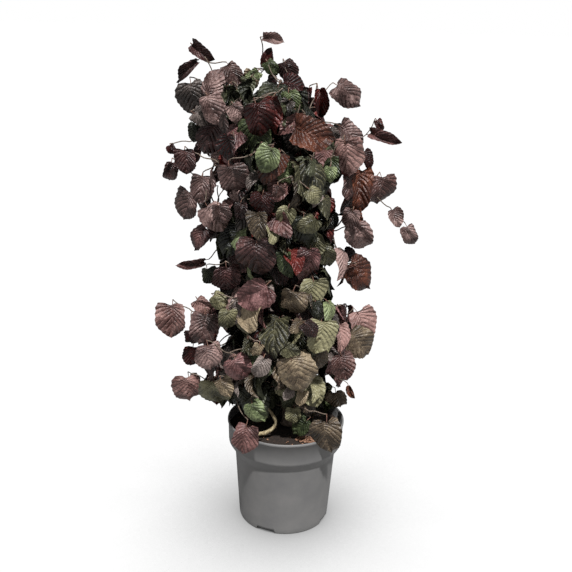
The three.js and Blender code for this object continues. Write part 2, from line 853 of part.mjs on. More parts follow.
function massSolid(mass) {
  const stem = limbSolid(mass.stem, taper(stemRadius, stemRadius - stemNarrowing, 3), limbSides);
  const pieces = [stem, ...mass.leaves.map(sprigSolid)];
  return mainBody(wasm.Manifold.union(pieces).simplify(smallestEdge));
}

// A limb is cut clear of the thicker limbs that it leaves, and the trunk level with the soil.
function limbGeometry(limb, order) {
  const thicker = limbs.slice(0, order)
    .map(({ route, radii, sides }) => limbSolid(route, radii.map((radius) => radius + fit), sides));
  const whole = limbSolid(limb.route, limb.radii, limb.sides);
  const cut = thicker.length ? whole.subtract(wasm.Manifold.union(thicker)) : whole;
  return geometryOf(mainBody(cut.trimByPlane([0, 0, 1], soilTop + fit)));
}

// A low bent shoot that lies on the soil in front of the trunk and curls up.
function paleShootGeometry() {
  const solid = limbSolid(shootRoute, shootRadii, shootSides);
  return geometryOf(mainBody(solid.trimByPlane([0, 0, 1], soilTop + fit)));
}

addBeads('pale_shoot', 'limb', beadsAlong(shootRoute), twigBead + Math.max(...shootRadii));
growTrunk();
growLeaders();
siteMasses();
feedMasses();
masses.forEach(growStem);
growMarkedLeaves();
growScatteredLeaves();

addNode('pot', potGeometry(), 0x727070, 0.5);
addNode('soil', soilGeometry(), 0x1e1814, 0.95);
addNode('pale_shoot', paleShootGeometry(), 0xb9ad84, 0.7);
limbs.forEach((limb, order) => addNode(limb.name, limbGeometry(limb, order), 0x5b4a3d, 0.85));
masses.forEach((mass) => addNode(mass.name, geometryOf(massSolid(mass)), tones[mass.tone], 0.7));

export default hazel;
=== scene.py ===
# %% [markdown]
# # A potted red majestic hazel
# The real thing is a contorted hazel bush in a round nursery pot: twisted grey-tan wood, and broad,
# pleated leaves whose colours run from plum and rust to grey-olive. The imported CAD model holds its
# places and sizes. This script keeps every stem where the CAD has it, and dresses it with fine twigs,
# single leaves, bark, moulded plastic and soil. We could model leaves by hand, but a rule with seeded
# chance grows more than a thousand of them, and gives the same bush on every run.

# %% Load the frame
import math
import time
import bmesh
import bpy
import numpy as np
from mathutils import Matrix, Vector, noise


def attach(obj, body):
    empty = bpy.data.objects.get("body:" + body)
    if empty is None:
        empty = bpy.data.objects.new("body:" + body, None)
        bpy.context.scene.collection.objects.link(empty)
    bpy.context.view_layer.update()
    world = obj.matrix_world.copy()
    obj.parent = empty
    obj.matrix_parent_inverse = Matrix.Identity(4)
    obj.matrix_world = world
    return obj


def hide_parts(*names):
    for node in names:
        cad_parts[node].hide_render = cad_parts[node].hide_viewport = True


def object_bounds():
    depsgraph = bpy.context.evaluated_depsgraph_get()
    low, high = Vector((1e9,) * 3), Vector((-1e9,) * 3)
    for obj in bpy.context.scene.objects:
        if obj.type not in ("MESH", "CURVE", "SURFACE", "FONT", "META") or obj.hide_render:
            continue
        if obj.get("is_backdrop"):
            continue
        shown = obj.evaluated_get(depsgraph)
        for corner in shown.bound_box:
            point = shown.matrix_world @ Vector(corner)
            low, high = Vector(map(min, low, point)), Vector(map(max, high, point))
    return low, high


started = time.time()
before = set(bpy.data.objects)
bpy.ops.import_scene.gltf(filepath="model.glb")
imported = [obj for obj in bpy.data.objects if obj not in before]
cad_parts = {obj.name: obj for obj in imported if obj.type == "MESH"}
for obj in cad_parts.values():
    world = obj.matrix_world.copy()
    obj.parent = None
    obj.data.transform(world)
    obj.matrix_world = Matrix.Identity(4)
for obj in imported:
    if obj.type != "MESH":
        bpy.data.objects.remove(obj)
cad_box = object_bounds()
MM = 0.001
print("CAD box:", [[round(v, 3) for v in corner] for corner in cad_box])

# %% [markdown]
# ## Camera and daylight
# The camera stands 1.8 m in front of the trunk, 1.18 m above the floor, and looks down on the pot, so
# we see the soil inside its rim. A high sun at the front gives the leaves clear shadows, and a white
# sky fills them a little. The sky and the floor meet in the same white, as in an open studio.

# %% Camera
scene = bpy.context.scene
eye_distance, eye_height = 1800.0, 1184.0
photo_pixels, focal_pixels = 572, 827
down_degrees, roll_degrees = 18.28, 1.61
camera_data = bpy.data.cameras.new("camera")
camera_data.sensor_width = 36.0
camera_data.lens = camera_data.sensor_width * focal_pixels / photo_pixels
camera_data.shift_x = -0.0062
camera = bpy.data.objects.new("camera", camera_data)
camera.matrix_world = (Matrix.Translation((0, -eye_distance * MM, eye_height * MM))
                       @ Matrix.Rotation(math.radians(90 - down_degrees), 4, "X")
                       @ Matrix.Rotation(math.radians(roll_degrees), 4, "Z"))
scene.collection.objects.link(camera)
scene.camera = camera
print("camera lens", round(camera_data.lens, 2), "mm")


# %% Colours and shader nodes
def linear(hex_colour):
    """An sRGB colour such as '#6b4a4c' as linear red, green, blue and alpha."""
    values = [int(hex_colour[i:i + 2], 16) / 255 for i in (1, 3, 5)]
    return [v / 12.92 if v <= 0.04045 else ((v + 0.055) / 1.055) ** 2.4 for v in values] + [1.0]


def set_inputs(node, inputs):
    """Each input gets a value, or a link from a socket or from another node's first output in use."""
    for name, value in inputs.items():
        if isinstance(value, bpy.types.Node):
            value = next(output for output in value.outputs if output.enabled)
        if isinstance(value, bpy.types.NodeSocket):
            node.id_data.links.new(value, node.inputs[name])
        else:
            node.inputs[name].default_value = value


def add_node(tree, kind, inputs, **settings):
    """One shader node, named without its ShaderNode, with its settings and links."""
    node = tree.nodes.new("ShaderNode" + kind)
    for name, value in settings.items():
        setattr(node, name, value)
    set_inputs(node, inputs)
    return node


def new_material(name):
    """A material, its node tree and its own shader, whose colour and bump are set later."""
    material = bpy.data.materials.new(name)
    material.use_nodes = True
    return material, material.node_tree, material.node_tree.nodes["Principled BSDF"]


def colour_steps(node, steps):
    """Sets a colour ramp from (place, hex colour) pairs."""
    ramp = node.color_ramp
    while len(ramp.elements) > 1:
        ramp.elements.remove(ramp.elements[-1])
    ramp.elements[0].position = steps[0][0]
    ramp.elements[0].color = linear(steps[0][1])
    for place, colour in steps[1:]:
        ramp.elements.new(place).color = linear(colour)
    return node


print("helpers for colours and shader nodes are ready")


# %% Light
def seen_by_camera(tree, seen, cast):
    """One strength where the camera looks, and another one for the light that is cast."""
    path = add_node(tree, "LightPath", {})
    return add_node(tree, "MapRange", {
        "Value": path.outputs["Is Camera Ray"], "To Min": cast, "To Max": seen})


scene.view_settings.view_transform = "Standard"
world = bpy.data.worlds.new("white sky")
world.use_nodes = True
set_inputs(world.node_tree.nodes["Background"], {
    "Color": linear("#ffffff"), "Strength": seen_by_camera(world.node_tree, 1.0, 0.3)})
scene.world = world

to_sun = Vector((0.14, -0.58, 1.0))
sun_disc_degrees = 3
sun_data = bpy.data.lights.new("sun", "SUN")
sun_data.energy = 5.0
sun_data.angle = math.radians(sun_disc_degrees)
sun = bpy.data.objects.new("sun", sun_data)
sun.rotation_euler = to_sun.to_track_quat("Z", "Y").to_euler()
scene.collection.objects.link(sun)
print("sun", sun_data.energy, "with a disc of", sun_disc_degrees, "degrees")


# %% Floor
# White paper, which the camera sees as a glow as white as the sky, with no light from the sun or sky on
# it.
# The soft shade on it is painted: the glow darkens by ambient occlusion where the bush and the pot hide
# the sky from it. The bush gets light back from it as from pale grey.
def mesh_from(bm, name):
    """The bmesh as a mesh, with the bmesh freed."""
    mesh = bpy.data.meshes.new(name)
    bm.to_mesh(mesh)
    bm.free()
    return mesh


floor_half_metres, shade_reach_metres = 60.0, 0.9
floor_material, floor_tree, floor_shader = new_material("white_paper")
floor_noise = add_node(floor_tree, "TexNoise", {"Scale": 3.0, "Detail": 2.0})
floor_tone = colour_steps(add_node(floor_tree, "ValToRGB", {"Fac": floor_noise}),
                          [(0.3, "#8e8e8e"), (0.7, "#949494")])
unlit = add_node(floor_tree, "Mix", {
    "Factor": seen_by_camera(floor_tree, 1.0, 0.0), "A": floor_tone, "B": linear("#000000")},
    data_type="RGBA")
openness = add_node(floor_tree, "AmbientOcclusion", {"Distance": shade_reach_metres},
                    samples=16)
# Painted shade: ambient occlusion darkens the floor's glow where the pot and the bush hide the sky,
# down to near black where it is most closed in.
painted_shade = colour_steps(add_node(floor_tree, "ValToRGB", {"Fac": openness.outputs["AO"]}),
                     [(0.04, "#0c0c0c"), (0.24, "#6a6a6a"), (0.36, "#a4a4a4"), (0.55, "#bababa"),
                      (0.7, "#d2d2d2"), (0.77, "#e0e0e0"), (0.83, "#f4f4f4"), (0.89, "#ffffff")])
set_inputs(floor_shader, {
    "Base Color": unlit, "Roughness": 1.0, "Specular IOR Level": 0.0, "Emission Color": painted_shade,
    "Emission Strength": seen_by_camera(floor_tree, 1.04, 0.0)})
bm = bmesh.new()
bmesh.ops.create_grid(bm, x_segments=1, y_segments=1, size=floor_half_metres)
floor = bpy.data.objects.new("floor", mesh_from(bm, "floor"))
floor.data.materials.append(floor_material)
scene.collection.objects.link(floor)
floor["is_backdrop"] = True
print("the floor is", 2 * floor_half_metres, "m wide")

# %% [markdown]
# ## The nursery pot
# A real pot of this size is blow- or injection-moulded polypropylene, about 2.4 mm thick, with a
# wide collar over a plain cone, a thin rolled lip, and drain notches at the foot. It could be a
# cylinder with its ends moved, but a spun profile gives the collar, the lip and the inside in one go.


# %% Helpers for pieces
def finished_piece(name, mesh, material, nodes):
    """A mesh as an object that rides on the root and stands for its CAD nodes."""
    mesh.name = name
    mesh.materials.clear()
    mesh.materials.append(material)
    piece = bpy.data.objects.new(name, mesh)
    scene.collection.objects.link(piece)
    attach(piece, "root")
    if nodes:
        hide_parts(*nodes)


def spun_mesh(name, profile, steps):
    """A closed shell from (radius, height) points in millimetres, spun about the Z axis."""
    bm = bmesh.new()
    verts = [bm.verts.new((radius * MM, 0, height * MM)) for radius, height in profile]
    edges = [bm.edges.new(pair) for pair in zip(verts, verts[1:])]
    bmesh.ops.spin(bm, geom=verts + edges, cent=(0, 0, 0), axis=(0, 0, 1),
                   angle=2 * math.pi, steps=steps, use_merge=True)
    bmesh.ops.remove_doubles(bm, verts=bm.verts, dist=1e-6)
    bmesh.ops.recalc_face_normals(bm, faces=bm.faces)
    for face in bm.faces:
        face.smooth = True
    return mesh_from(bm, name)


def with_modifiers(mesh, modifiers):
    """A new mesh: this one with (kind, settings) modifiers applied."""
    carrier = bpy.data.objects.new("carrier", mesh)
    scene.collection.objects.link(carrier)
    for kind, settings in modifiers:
        modifier = carrier.modifiers.new(kind.lower(), kind)
        for name, value in settings.items():
            setattr(modifier, name, value)
    evaluated = carrier.evaluated_get(bpy.context.evaluated_depsgraph_get())
    made = bpy.data.meshes.new_from_object(evaluated)
    bpy.data.objects.remove(carrier)
    return made


print("helpers for pieces are ready")

# %% Pot material: moulded polypropylene
# Moulded polypropylene is a soft mid grey with a broad, dull shine. Fine spark-eroded grain from the
# mould breaks up its highlight, and dust and water marks cloud it in patches.
grain_mm, cloud_mm = 1.2, 60.0
pot_material, pot_tree, pot_shader = new_material("moulded_polypropylene")
pot_place = add_node(pot_tree, "TexCoord", {}).outputs["Object"]
pot_cloud = add_node(pot_tree, "TexNoise", {
    "Vector": pot_place, "Scale": 1000 / cloud_mm, "Detail": 6.0, "Roughness": 0.6})
pot_tone = colour_steps(add_node(pot_tree, "ValToRGB", {"Fac": pot_cloud}),
                        [(0.3, "#6c6b6b"), (0.52, "#727170"), (0.72, "#797776")])
pot_grain = add_node(pot_tree, "TexNoise", {
    "Vector": pot_place, "Scale": 1000 / grain_mm, "Detail": 2.0})
pot_bump = add_node(pot_tree, "Bump", {
    "Strength": 0.25, "Distance": 0.0004, "Height": pot_grain})
set_inputs(pot_shader, {"Base Color": pot_tone, "Normal": pot_bump, "Roughness": 0.48, "IOR": 1.49})
print("pot grain", grain_mm, "mm")

# %% Pot
pot_height, rim_radius, base_radius, pot_wall, pot_floor = 256.0, 140.0, 109.0, 2.4, 3.0
shoulder_low, shoulder_high, lip_height = 176.0, 202.0, 6.0
notch_width, notch_height, notch_depth, notch_round, first_notch = 45.0, 9.0, 9.0, 2.0, -113.0
soil_top = 236.0
collar_low = rim_radius - 3
shoulder_radius = base_radius + 12
lip = pot_height - lip_height
pot_profile = [
    (0, 0), (base_radius - 3, 0), (base_radius - 0.8, 0.8), (base_radius, 3),
    (base_radius + 0.9, notch_height + 5),
    (shoulder_radius - 0.4, shoulder_low - 4), (shoulder_radius + 0.8, shoulder_low + 2),
    (collar_low - 2.5, shoulder_high - 4), (collar_low - 0.6, shoulder_high - 0.8),
    (collar_low, shoulder_high + 3), (rim_radius - 1.8, lip - 0.6), (rim_radius - 0.7, lip),
    (rim_radius, lip + 1.2), (rim_radius, pot_height - 1.2), (rim_radius - 0.9, pot_height - 0.1),
    (rim_radius - 3.2, pot_height - 0.1), (rim_radius - 4.2, pot_height - 1.2),
    (collar_low - pot_wall, shoulder_high + 1), (shoulder_radius - pot_wall, shoulder_low + 1),
    (base_radius + 0.9 - pot_wall, notch_height + 5), (base_radius - pot_wall, pot_floor),
    (0, pot_floor),
]
pot_shell = spun_mesh("pot", pot_profile, steps=128)
bm = bmesh.new()
for turn in (0, 90, 180, 270):
    place = (Matrix.Rotation(math.radians(first_notch + turn), 4, "Z")
             @ Matrix.Translation((base_radius * MM, 0, 0))
             @ Matrix.Diagonal((notch_depth * 2 * MM, notch_width * MM, notch_height * 2 * MM, 1)))
    bmesh.ops.create_cube(bm, size=1.0, matrix=place)
bmesh.ops.bevel(bm, geom=list(bm.edges), offset=notch_round * MM, offset_type="OFFSET", segments=2,
                profile=0.5, affect="EDGES", material=-1)
cutter = bpy.data.objects.new("notches", mesh_from(bm, "notches"))
scene.collection.objects.link(cutter)
pot_mesh = with_modifiers(pot_shell, [("BOOLEAN", {"operation": "DIFFERENCE", "object": cutter,
                                                   "solver": "EXACT"})])
bpy.data.objects.remove(cutter)
finished_piece("pot_shell", pot_mesh, pot_material, ["pot"])
print("pot:", len(pot_mesh.vertices), "vertices")

# %% [markdown]
# ## Soil
# Potting soil is nearly black peat with lumps, and chips of reddish-brown bark lie on it at the front
# right. The lumps are a disc of rings pushed up and down by noise. Each chip is a squashed ball of a
# few flat faces.

# %% Soil material: moist peat
# Moist peat is matt and dark brown, with crumbs of a few millimetres.
crumb_mm = 5.0
soil_material, soil_tree, soil_shader = new_material("moist_peat")
soil_place = add_node(soil_tree, "TexCoord", {}).outputs["Object"]
soil_crumb = add_node(soil_tree, "TexNoise", {
    "Vector": soil_place, "Scale": 1000 / crumb_mm, "Detail": 5.0, "Roughness": 0.7})
soil_tone = colour_steps(add_node(soil_tree, "ValToRGB", {"Fac": soil_crumb}),
                         [(0.35, "#17110d"), (0.55, "#2a1f18"), (0.75, "#46342a")])
soil_bump = add_node(soil_tree, "Bump", {
    "Strength": 0.8, "Distance": 0.003, "Height": soil_crumb})
set_inputs(soil_shader, {"Base Color": soil_tone, "Normal": soil_bump, "Roughness": 0.95})
print("soil crumbs", crumb_mm, "mm")

# %% Soil
soil_gap, soil_sunk, soil_ring_count = 0.6, 3, 26
lump_height, lump_limit, lumps_per_metre = 2.2, 2.8, 55
soil_radius = collar_low - pot_wall - soil_gap
foot_radius = base_radius - notch_depth - 4
soil_rings = [(soil_radius * step / soil_ring_count, soil_top - soil_sunk)
              for step in range(soil_ring_count, -1, -1)]
soil_profile = [(0, pot_floor + 0.3), (foot_radius, pot_floor + 0.3),
                (base_radius - pot_wall - 1, 14), (shoulder_radius - pot_wall - soil_gap, shoulder_low),
                (soil_radius, shoulder_high + 2)] + soil_rings
soil_mesh = spun_mesh("soil", soil_profile, steps=96)
for vertex in soil_mesh.vertices:
    if vertex.co.z > (soil_top - 5) * MM:
        lumps = noise.fractal(vertex.co * lumps_per_metre, 1.0, 2.0, 4)
        vertex.co.z += min(lump_limit, lump_height * lumps) * MM
finished_piece("peat", soil_mesh, soil_material, ["soil"])
print("soil:", len(soil_mesh.polygons), "faces")

# %% [markdown]
# ## The growth rule
# Every stem, bough and leaf of the CAD grew by one rule with seeded chance. The same rule is written
# again here, with the same numbers, so the limbs and leaves land where the solids are. Then it goes
# on with finer twigs and smaller leaves inside the same reach, which the CAD leaves out. Points are
# in millimetres while the bush grows, and each limb, twig and leaf is covered by round beads: no bead
# of one may meet a bead of another, so nothing grows through its neighbour.

# %% Sizes of the wood and leaves
trunk_radius, trunk_tip_radius, foot_flare, flare_fade = 12.5, 8.0, 0.75, 1.6
trunk_tip = np.array([10.0, 6.0, 520.0])
leader_radius, leader_tip_radius, leader_step = 6.6, 3.2, 28.0
bough_radius, bough_step, bough_inward, bough_rise, bough_share = 3.6, 22.0, 0.3, 85.0, 0.62
onward_length, fit = 14.0, 0.3
stem_radius, twig_radius, twig_tip_radius, petiole_radius = 2.3, 1.7, 1.2, 0.9
swing, swing_fade, turn_length, fewest_turns = 11.0, 0.3, 125.0, 0.6
kink_length, kink_share = 52.0, 0.09
leaf_lengths, leaf_curls, leaf_folds, leaf_dips = (62, 92), (0.25, 1), (0.05, 0.4), (0.55, 1.45)
leaf_twist, leaf_stray, leaf_width_share = 0.6, 0.9, 0.88
petiole_share, petiole_along, petiole_up, blade_middle = 0.19, 0.75, 0.66, 0.43
site_spread, mass_reach, mass_rise = 1.1, 130.0, 105.0
open_heart, longest_twig, longest_shoot = 0.34, 125.0, 260.0
leaf_bead, twig_bead, bead_step, kin_bead = 5.6, 4.4, 8.0, 0.5
leaf_outline = [(0.42, 0.05), (0.47, 0.6), (0, 1), (-0.47, 0.6), (-0.42, 0.05)]
leaf_heart = 0.4

# Height, reach to the left, reach to the right and half depth of the crown, seen from the front.
crown_levels = [
    (238, 95, 70, 105), (300, 190, 120, 165), (360, 215, 140, 185), (440, 212, 180, 200),
    (520, 205, 170, 195), (600, 168, 140, 178), (700, 195, 168, 190), (780, 222, 172, 200),
    (860, 218, 166, 198), (940, 208, 152, 185), (1000, 215, 100, 165), (1040, 206, 6, 130),
    (1075, 150, -25, 75),
]
# Gaps with sky in them: across, height, half width, half height.
sky_gaps = np.array([
    (104, 800, 13, 34), (112, 714, 15, 22), (104, 620, 14, 18), (117, 566, 13, 16),
    (-197, 863, 17, 12), (-163, 798, 12, 13), (-155, 462, 11, 20), (88, 976, 16, 14)], float)
foliage_levels = [
    ("skirt", 335, (-142, -58, 40, 130), 0.56), ("low", 465, (-95, -8, 88, 178), 0.56),
    ("middle", 600, (-140, -50, 45, 132), 0.54), ("high", 735, (-98, -10, 85, 172), 0.56),
    ("upper", 870, (-140, -52, 42, 130), 0.56), ("top", 985, (-35, 175), 0.5),
]
eighth_turn = 45
side_names = {0: "right", 45: "back_right", 90: "back", 135: "back_left", 180: "left",
              -135: "front_left", -90: "front", -45: "front_right"}
leaders = [("leader_front", 292, (-8, -58, 690), 40), ("leader_left", 345, (-78, -8, 800), 200),
           ("leader_right", 398, (66, -6, 800), 300), ("leader_back", 446, (6, 70, 800), 120)]
top_leader = ("leader_top", (-38, 6, 905), 260)
print("crown levels:", len(crown_levels), "sky gaps:", len(sky_gaps))

# %% Seeded chance
seed, chance_factor, chance_step, chance_span = 30026, 1664525, 1013904223, 2 ** 32
chance_state = [seed]


def chance():
    """The next number from 0 up to 1 of a row that is the same on every run."""
    chance_state[0] = (chance_state[0] * chance_factor + chance_step) % chance_span
    return chance_state[0] / chance_span


def between(low, high):
    return low + (high - low) * chance()


def rounded(value):
    return math.floor(value + 0.5)


def unit(vector):
    return vector / math.sqrt(vector @ vector)


def cross(a, b):
    return np.array([a[1] * b[2] - a[2] * b[1], a[2] * b[0] - a[0] * b[2], a[0] * b[1] - a[1] * b[0]])


def distance(a, b):
    return math.dist(a, b)


print("the row of chance starts from", seed)


# %% Routes of limbs
def sides_of(direction):
    """Two directions at right angles to this one."""
    helper = np.array([1.0, 0, 0]) if abs(direction[2]) > 0.8 else np.array([0, 0, 1.0])
    first = unit(cross(helper, direction))
    return first, cross(direction, first)


def contorted_route(start, end, size, start_turn, steps, finer=1):
    """A corkscrew whose swing fades at both ends; finer gives more points on the same route."""
    line = end - start
    length = math.sqrt(line @ line)
    first, second = sides_of(line / length)
    turns = max(fewest_turns, length / turn_length)
    route = []
    for i in range(steps * finer + 1):
        share = i / (steps * finer)
        reach = size * math.sqrt(max(0.0, math.sin(math.pi * share))) * (1 - swing_fade * share)
        angle = math.radians(start_turn) + 2 * math.pi * turns * share
        route.append(start + line * share + first * reach * math.cos(angle)
                     + second * reach * math.sin(angle))
    return route


def taper(start, end, steps):
    return [start + (end - start) * i / steps for i in range(steps + 1)]


print("one full turn of the corkscrew takes", turn_length, "mm")

# %% Beads
placed = []


def ball_round(beads):
    """The middle of the beads, and how far the furthest one is from it."""
    centre = beads.mean(axis=0)
    return centre, np.sqrt(((beads - centre) ** 2).sum(axis=1)).max()


def add_beads(owner, kind, beads, size):
    beads = np.array(beads)
    placed.append((owner, kind, beads, size, *ball_round(beads)))


def beads_along(route):
    beads = [route[0]]
    for a, b in zip(route, route[1:]):
        count = math.ceil(distance(a, b) / bead_step)
        beads.extend(a + (b - a) * (j / count) for j in range(1, count + 1))
    return beads


def is_free(owner, kind, beads, size):
    """True where no bead of another owner is met; leaves of one mass may come closer."""
    centre, own_reach = ball_round(beads)
    for other_owner, other_kind, others, other_size, other_centre, reach in placed:
        kin = other_owner == owner
        if kin and (kind != "leaf" or other_kind != "leaf"):
            continue
        gap = (size + other_size) * (kin_bead if kin else 1)
        if distance(centre, other_centre) > reach + own_reach + gap:
            continue
        apart = beads[:, None, :] - others[None, :, :]
        if (apart * apart).sum(axis=2).min() <= gap * gap:
            return False
    return True


shoot_route = [np.array(point, float) for point in (
    (-72, -62, 230), (-66, -65, 244), (-49, -68, 246), (-34, -68, 254), (-22, -68, 270),
    (-24, -70, 286), (-32, -72, 299), (-45, -72, 317))]
shoot_radii = [4.4, 5, 5.2, 5.2, 4.8, 4.2, 3.4, 2.6]
add_beads("pale_shoot", "limb", beads_along(shoot_route), twig_bead + max(shoot_radii))
print("leaf beads", leaf_bead, "mm, twig beads", twig_bead, "mm")

# %% Trunk and leaders
trunk_steps, trunk_turn, trunk_calm, trunk_sunk = 14, 60, 0.8, 8
points_between = 5
limbs = []


def add_limb(name, route, radii, smooth_route, smooth_radii):
    limbs.append({"name": name, "route": route, "smooth": smooth_route, "radii": smooth_radii})
    for a, b, radius in zip(route, route[1:], radii):
        add_beads(name, "limb", beads_along([a, b]), twig_bead + radius)


def trunk_radii(finer):
    """Radii that flare at the foot, for a route with finer times the points."""
    return [radius * (1 + foot_flare * math.exp(-flare_fade * i / finer))
            for i, radius in enumerate(taper(trunk_radius, trunk_tip_radius, trunk_steps * finer))]


def grow_trunk():
    foot = np.array([0, 0, soil_top - trunk_sunk])
    shape = (foot, trunk_tip, swing * trunk_calm, trunk_turn, trunk_steps)
    add_limb("trunk", contorted_route(*shape), trunk_radii(1),
             contorted_route(*shape, finer=points_between), trunk_radii(points_between))


def add_leader(name, start, tip, turn, before=()):
    steps = rounded(distance(tip, start) / leader_step)
    route = list(before) + contorted_route(start, tip, swing, turn, steps)
    smooth = list(before) + contorted_route(start, tip, swing, turn, steps, finer=points_between)
    add_limb(name, route, taper(leader_radius, leader_tip_radius, len(route) - 1),
             smooth, taper(leader_radius, leader_tip_radius, len(smooth) - 1))


def grow_leaders():
    trunk = limbs[0]
    for name, height, tip, turn in leaders:
        start = next(point for point in trunk["route"] if point[2] >= height)
        add_leader(name, start, np.array(tip, float), turn)
    end = trunk["route"][-1]
    onward = unit(end - trunk["route"][-2])
    name, tip, turn = top_leader
    add_leader(name, end + onward * onward_length, np.array(tip, float), turn, [end + onward * fit])


grow_trunk()
grow_leaders()
print("trunk and", len(limbs) - 1, "leaders")


# %% The crown's space
def crown_at(height):
    """The crown's level at a height, between two of the named ones."""
    above = next((i for i, level in enumerate(crown_levels) if level[0] >= height), -1)
    if above < 1:
        return None
    low, high = crown_levels[above - 1], crown_levels[above]
    share = (height - low[0]) / (high[0] - low[0])
    return [a + (b - a) * share for a, b in zip(low, high)]


def place_seen(across, height, depth):
    """A place at some depth that the camera sees where the trunk's plane has this one."""
    scale = (eye_distance + depth) / eye_distance
    return np.array([across * scale, depth, eye_height + (height - eye_height) * scale])


def seen_at(points):
    """How far across and how high, in the trunk's plane, the camera sees a point or rows of points."""
    scale = eye_distance / (eye_distance + points[..., 1])
    return points[..., 0] * scale, eye_height + (points[..., 2] - eye_height) * scale


def crown_share(point):
    """0 on the crown's middle line, 1 at its outline."""
    seen_across, seen_height = seen_at(point)
    level = crown_at(seen_height)
    if not level:
        return 2
    _, left, right, depth = level
    across = (seen_across - (right - left) / 2) / ((right + left) / 2)
    return math.hypot(across, point[1] / depth)


def meets_sky_gap(beads):
    across, height = seen_at(beads)
    reach = np.hypot((across[:, None] - sky_gaps[:, 0]) / sky_gaps[:, 2],
                     (height[:, None] - sky_gaps[:, 1]) / sky_gaps[:, 3])
    return bool((reach < 1).any())


rim_depth = 5


def clear_of_pot(beads, size):
    """True above the rim, outside the pot's wall, or between the soil and the wall."""
    radius = np.hypot(beads[:, 0], beads[:, 1])
    height = beads[:, 2]
    outside = (height - size > pot_height) | ((radius > rim_radius + size) & (height > size))
    inside = (radius < rim_radius - rim_depth - size) & (height - size > soil_top)
    return bool((outside | inside).all())


print("the crown is", crown_levels[-1][0] - crown_levels[0][0], "mm high")

# %% Places of the masses
masses = []


def site_masses():
    for level, height, directions, outward in foliage_levels:
        for direction in directions:
            _, left, right, depth = crown_at(height)
            turn = math.radians(direction)
            spread = outward * site_spread
            across = (right - left) / 2 + spread * (right + left) / 2 * math.cos(turn)
            site = np.array([across, spread * depth * math.sin(turn), height])
            side = rounded(direction / eighth_turn) * eighth_turn
            masses.append({"name": f"foliage_{level}_{side_names[side]}", "site": site,
                           "leaves": [], "nodes": [], "feeder": None})


site_masses()
print(len(masses), "masses on", len(foliage_levels), "levels")

# %% Boughs
bough_swing, bough_points_between, bough_over_stem, bough_clearance = swing * 0.5, 4, 0.2, 2


def grow_bough(mass, carriers):
    """A bough leaves the nearest part of a leader or the trunk that gives it a clear way."""
    site = mass["site"]
    wished = np.array([site[0] * bough_inward, site[1] * bough_inward, site[2] - bough_rise])
    starts = [(carrier, point) for carrier in carriers for point in carrier["route"][2:-1]]
    starts.sort(key=lambda start: distance(start[1], wished))
    name = mass["name"].replace("foliage", "bough")
    for carrier, point in starts:
        tip = point + (site - point) * bough_share
        steps = max(3, rounded(distance(tip, point) / bough_step))
        turn = between(0, 360)
        shape = (point, tip, bough_swing, turn, steps)
        route = contorted_route(*shape)
        beads = np.array([bead for bead in beads_along(route) if distance(bead, point) > onward_length])
        clear_way = all(
            np.sqrt(((beads[:, None, :] - others[None]) ** 2).sum(axis=2)).min()
            > size + (0 if owner == carrier["name"] else bough_clearance)
            for owner, _, others, size, _, _ in placed)
        if clear_way:
            radii, smooth_radii = (taper(bough_radius, stem_radius + bough_over_stem, steps * finer)
                                   for finer in (1, bough_points_between))
            add_limb(name, route, radii, contorted_route(*shape, finer=bough_points_between),
                     smooth_radii)
            mass["feeder"] = limbs[-1]
            return
    raise ValueError(f"no clear way for {name}")


def feed_masses():
    """Each leader ends in the mass nearest above its tip; every other mass gets a bough of its own."""
    for leader in limbs[1:]:
        tip = leader["route"][-1]
        free = [mass for mass in masses if mass["feeder"] is None and mass["site"][2] > tip[2]]
        min(free, key=lambda mass: distance(mass["site"], tip))["feeder"] = leader
    carriers = list(limbs)
    for mass in [mass for mass in masses if mass["feeder"] is None]:
        grow_bough(mass, carriers)


feed_masses()
print(len(limbs), "limbs")

# %% Stems of the masses
stem_thinning, stem_path = 0.2, 20


def grow_stem(mass):
    """A mass's stem starts just clear of its limb's tip, goes on its way, then bends to its place."""
    route = mass["feeder"]["route"]
    tip = route[-1]
    onward = unit(tip - route[-2])
    bend = tip + onward * onward_length
    middle = bend + (mass["site"] - bend) * 0.5
    mass["stem"] = [tip + onward * fit, bend, middle, mass["site"]]
    mass["nodes"] = [{"point": point, "radius": stem_radius - stem_thinning * i,
                      "path": stem_path * i, "bare": i > 0}
                     for i, point in enumerate((bend, middle, mass["site"]))]
    add_beads(mass["name"], "twig", beads_along(mass["stem"]), twig_bead)


for mass in masses:
    grow_stem(mass)
print("joints on the stems:", sum(len(mass["nodes"]) for mass in masses))


# %% One leaf
def make_leaf(root, along, normal, length, curl, fold):
    """A leaf as the foot of its stalk, the base of its blade, its three directions and its shape."""
    across = unit(cross(along, normal))
    upper = cross(across, along)
    base = root + (along * petiole_along + upper * petiole_up) * (length * petiole_share)
    return {"root": root, "base": base, "along": along, "across": across, "upper": upper,
            "length": length, "curl": curl, "fold": fold}


def leaf_points(leaf, across_share, along_share):
    """Points of the blade from arrays of shares, drooped by the curl and raised by the fold."""
    across_share, along_share = np.asarray(across_share, float), np.asarray(along_share, float)
    length, curl, fold = leaf["length"], leaf["curl"], leaf["fold"]
    bend = curl * along_share
    side = across_share * (length * leaf_width_share)
    lift = np.abs(side) * math.sin(fold) - length / curl * (1 - np.cos(bend))
    return (leaf["base"] + leaf["along"] * (length / curl * np.sin(bend))[..., None]
            + leaf["upper"] * lift[..., None] + leaf["across"] * (side * math.cos(fold))[..., None])


def leaf_rim(leaf):
    return np.vstack([leaf["root"], leaf_points(leaf, *zip(*leaf_outline))])


def fan_weights(rings):
    """Shares of each rim point and the next one, for beads on rings round the blade's middle."""
    rim_points = len(leaf_outline) + 1
    rows = []
    for i in range(rim_points):
        for ring in range(1, rings + 1):
            for step in range(ring):
                row = np.zeros(rim_points)
                row[i] += (ring - step) / rings
                row[(i + 1) % rim_points] += step / rings
                rows.append(row)
    return np.array(rows)


def leaf_beads(leaf, weights):
    middle = leaf_points(leaf, [0], [leaf_heart])
    return np.vstack([middle, middle + weights @ (leaf_rim(leaf) - middle)])


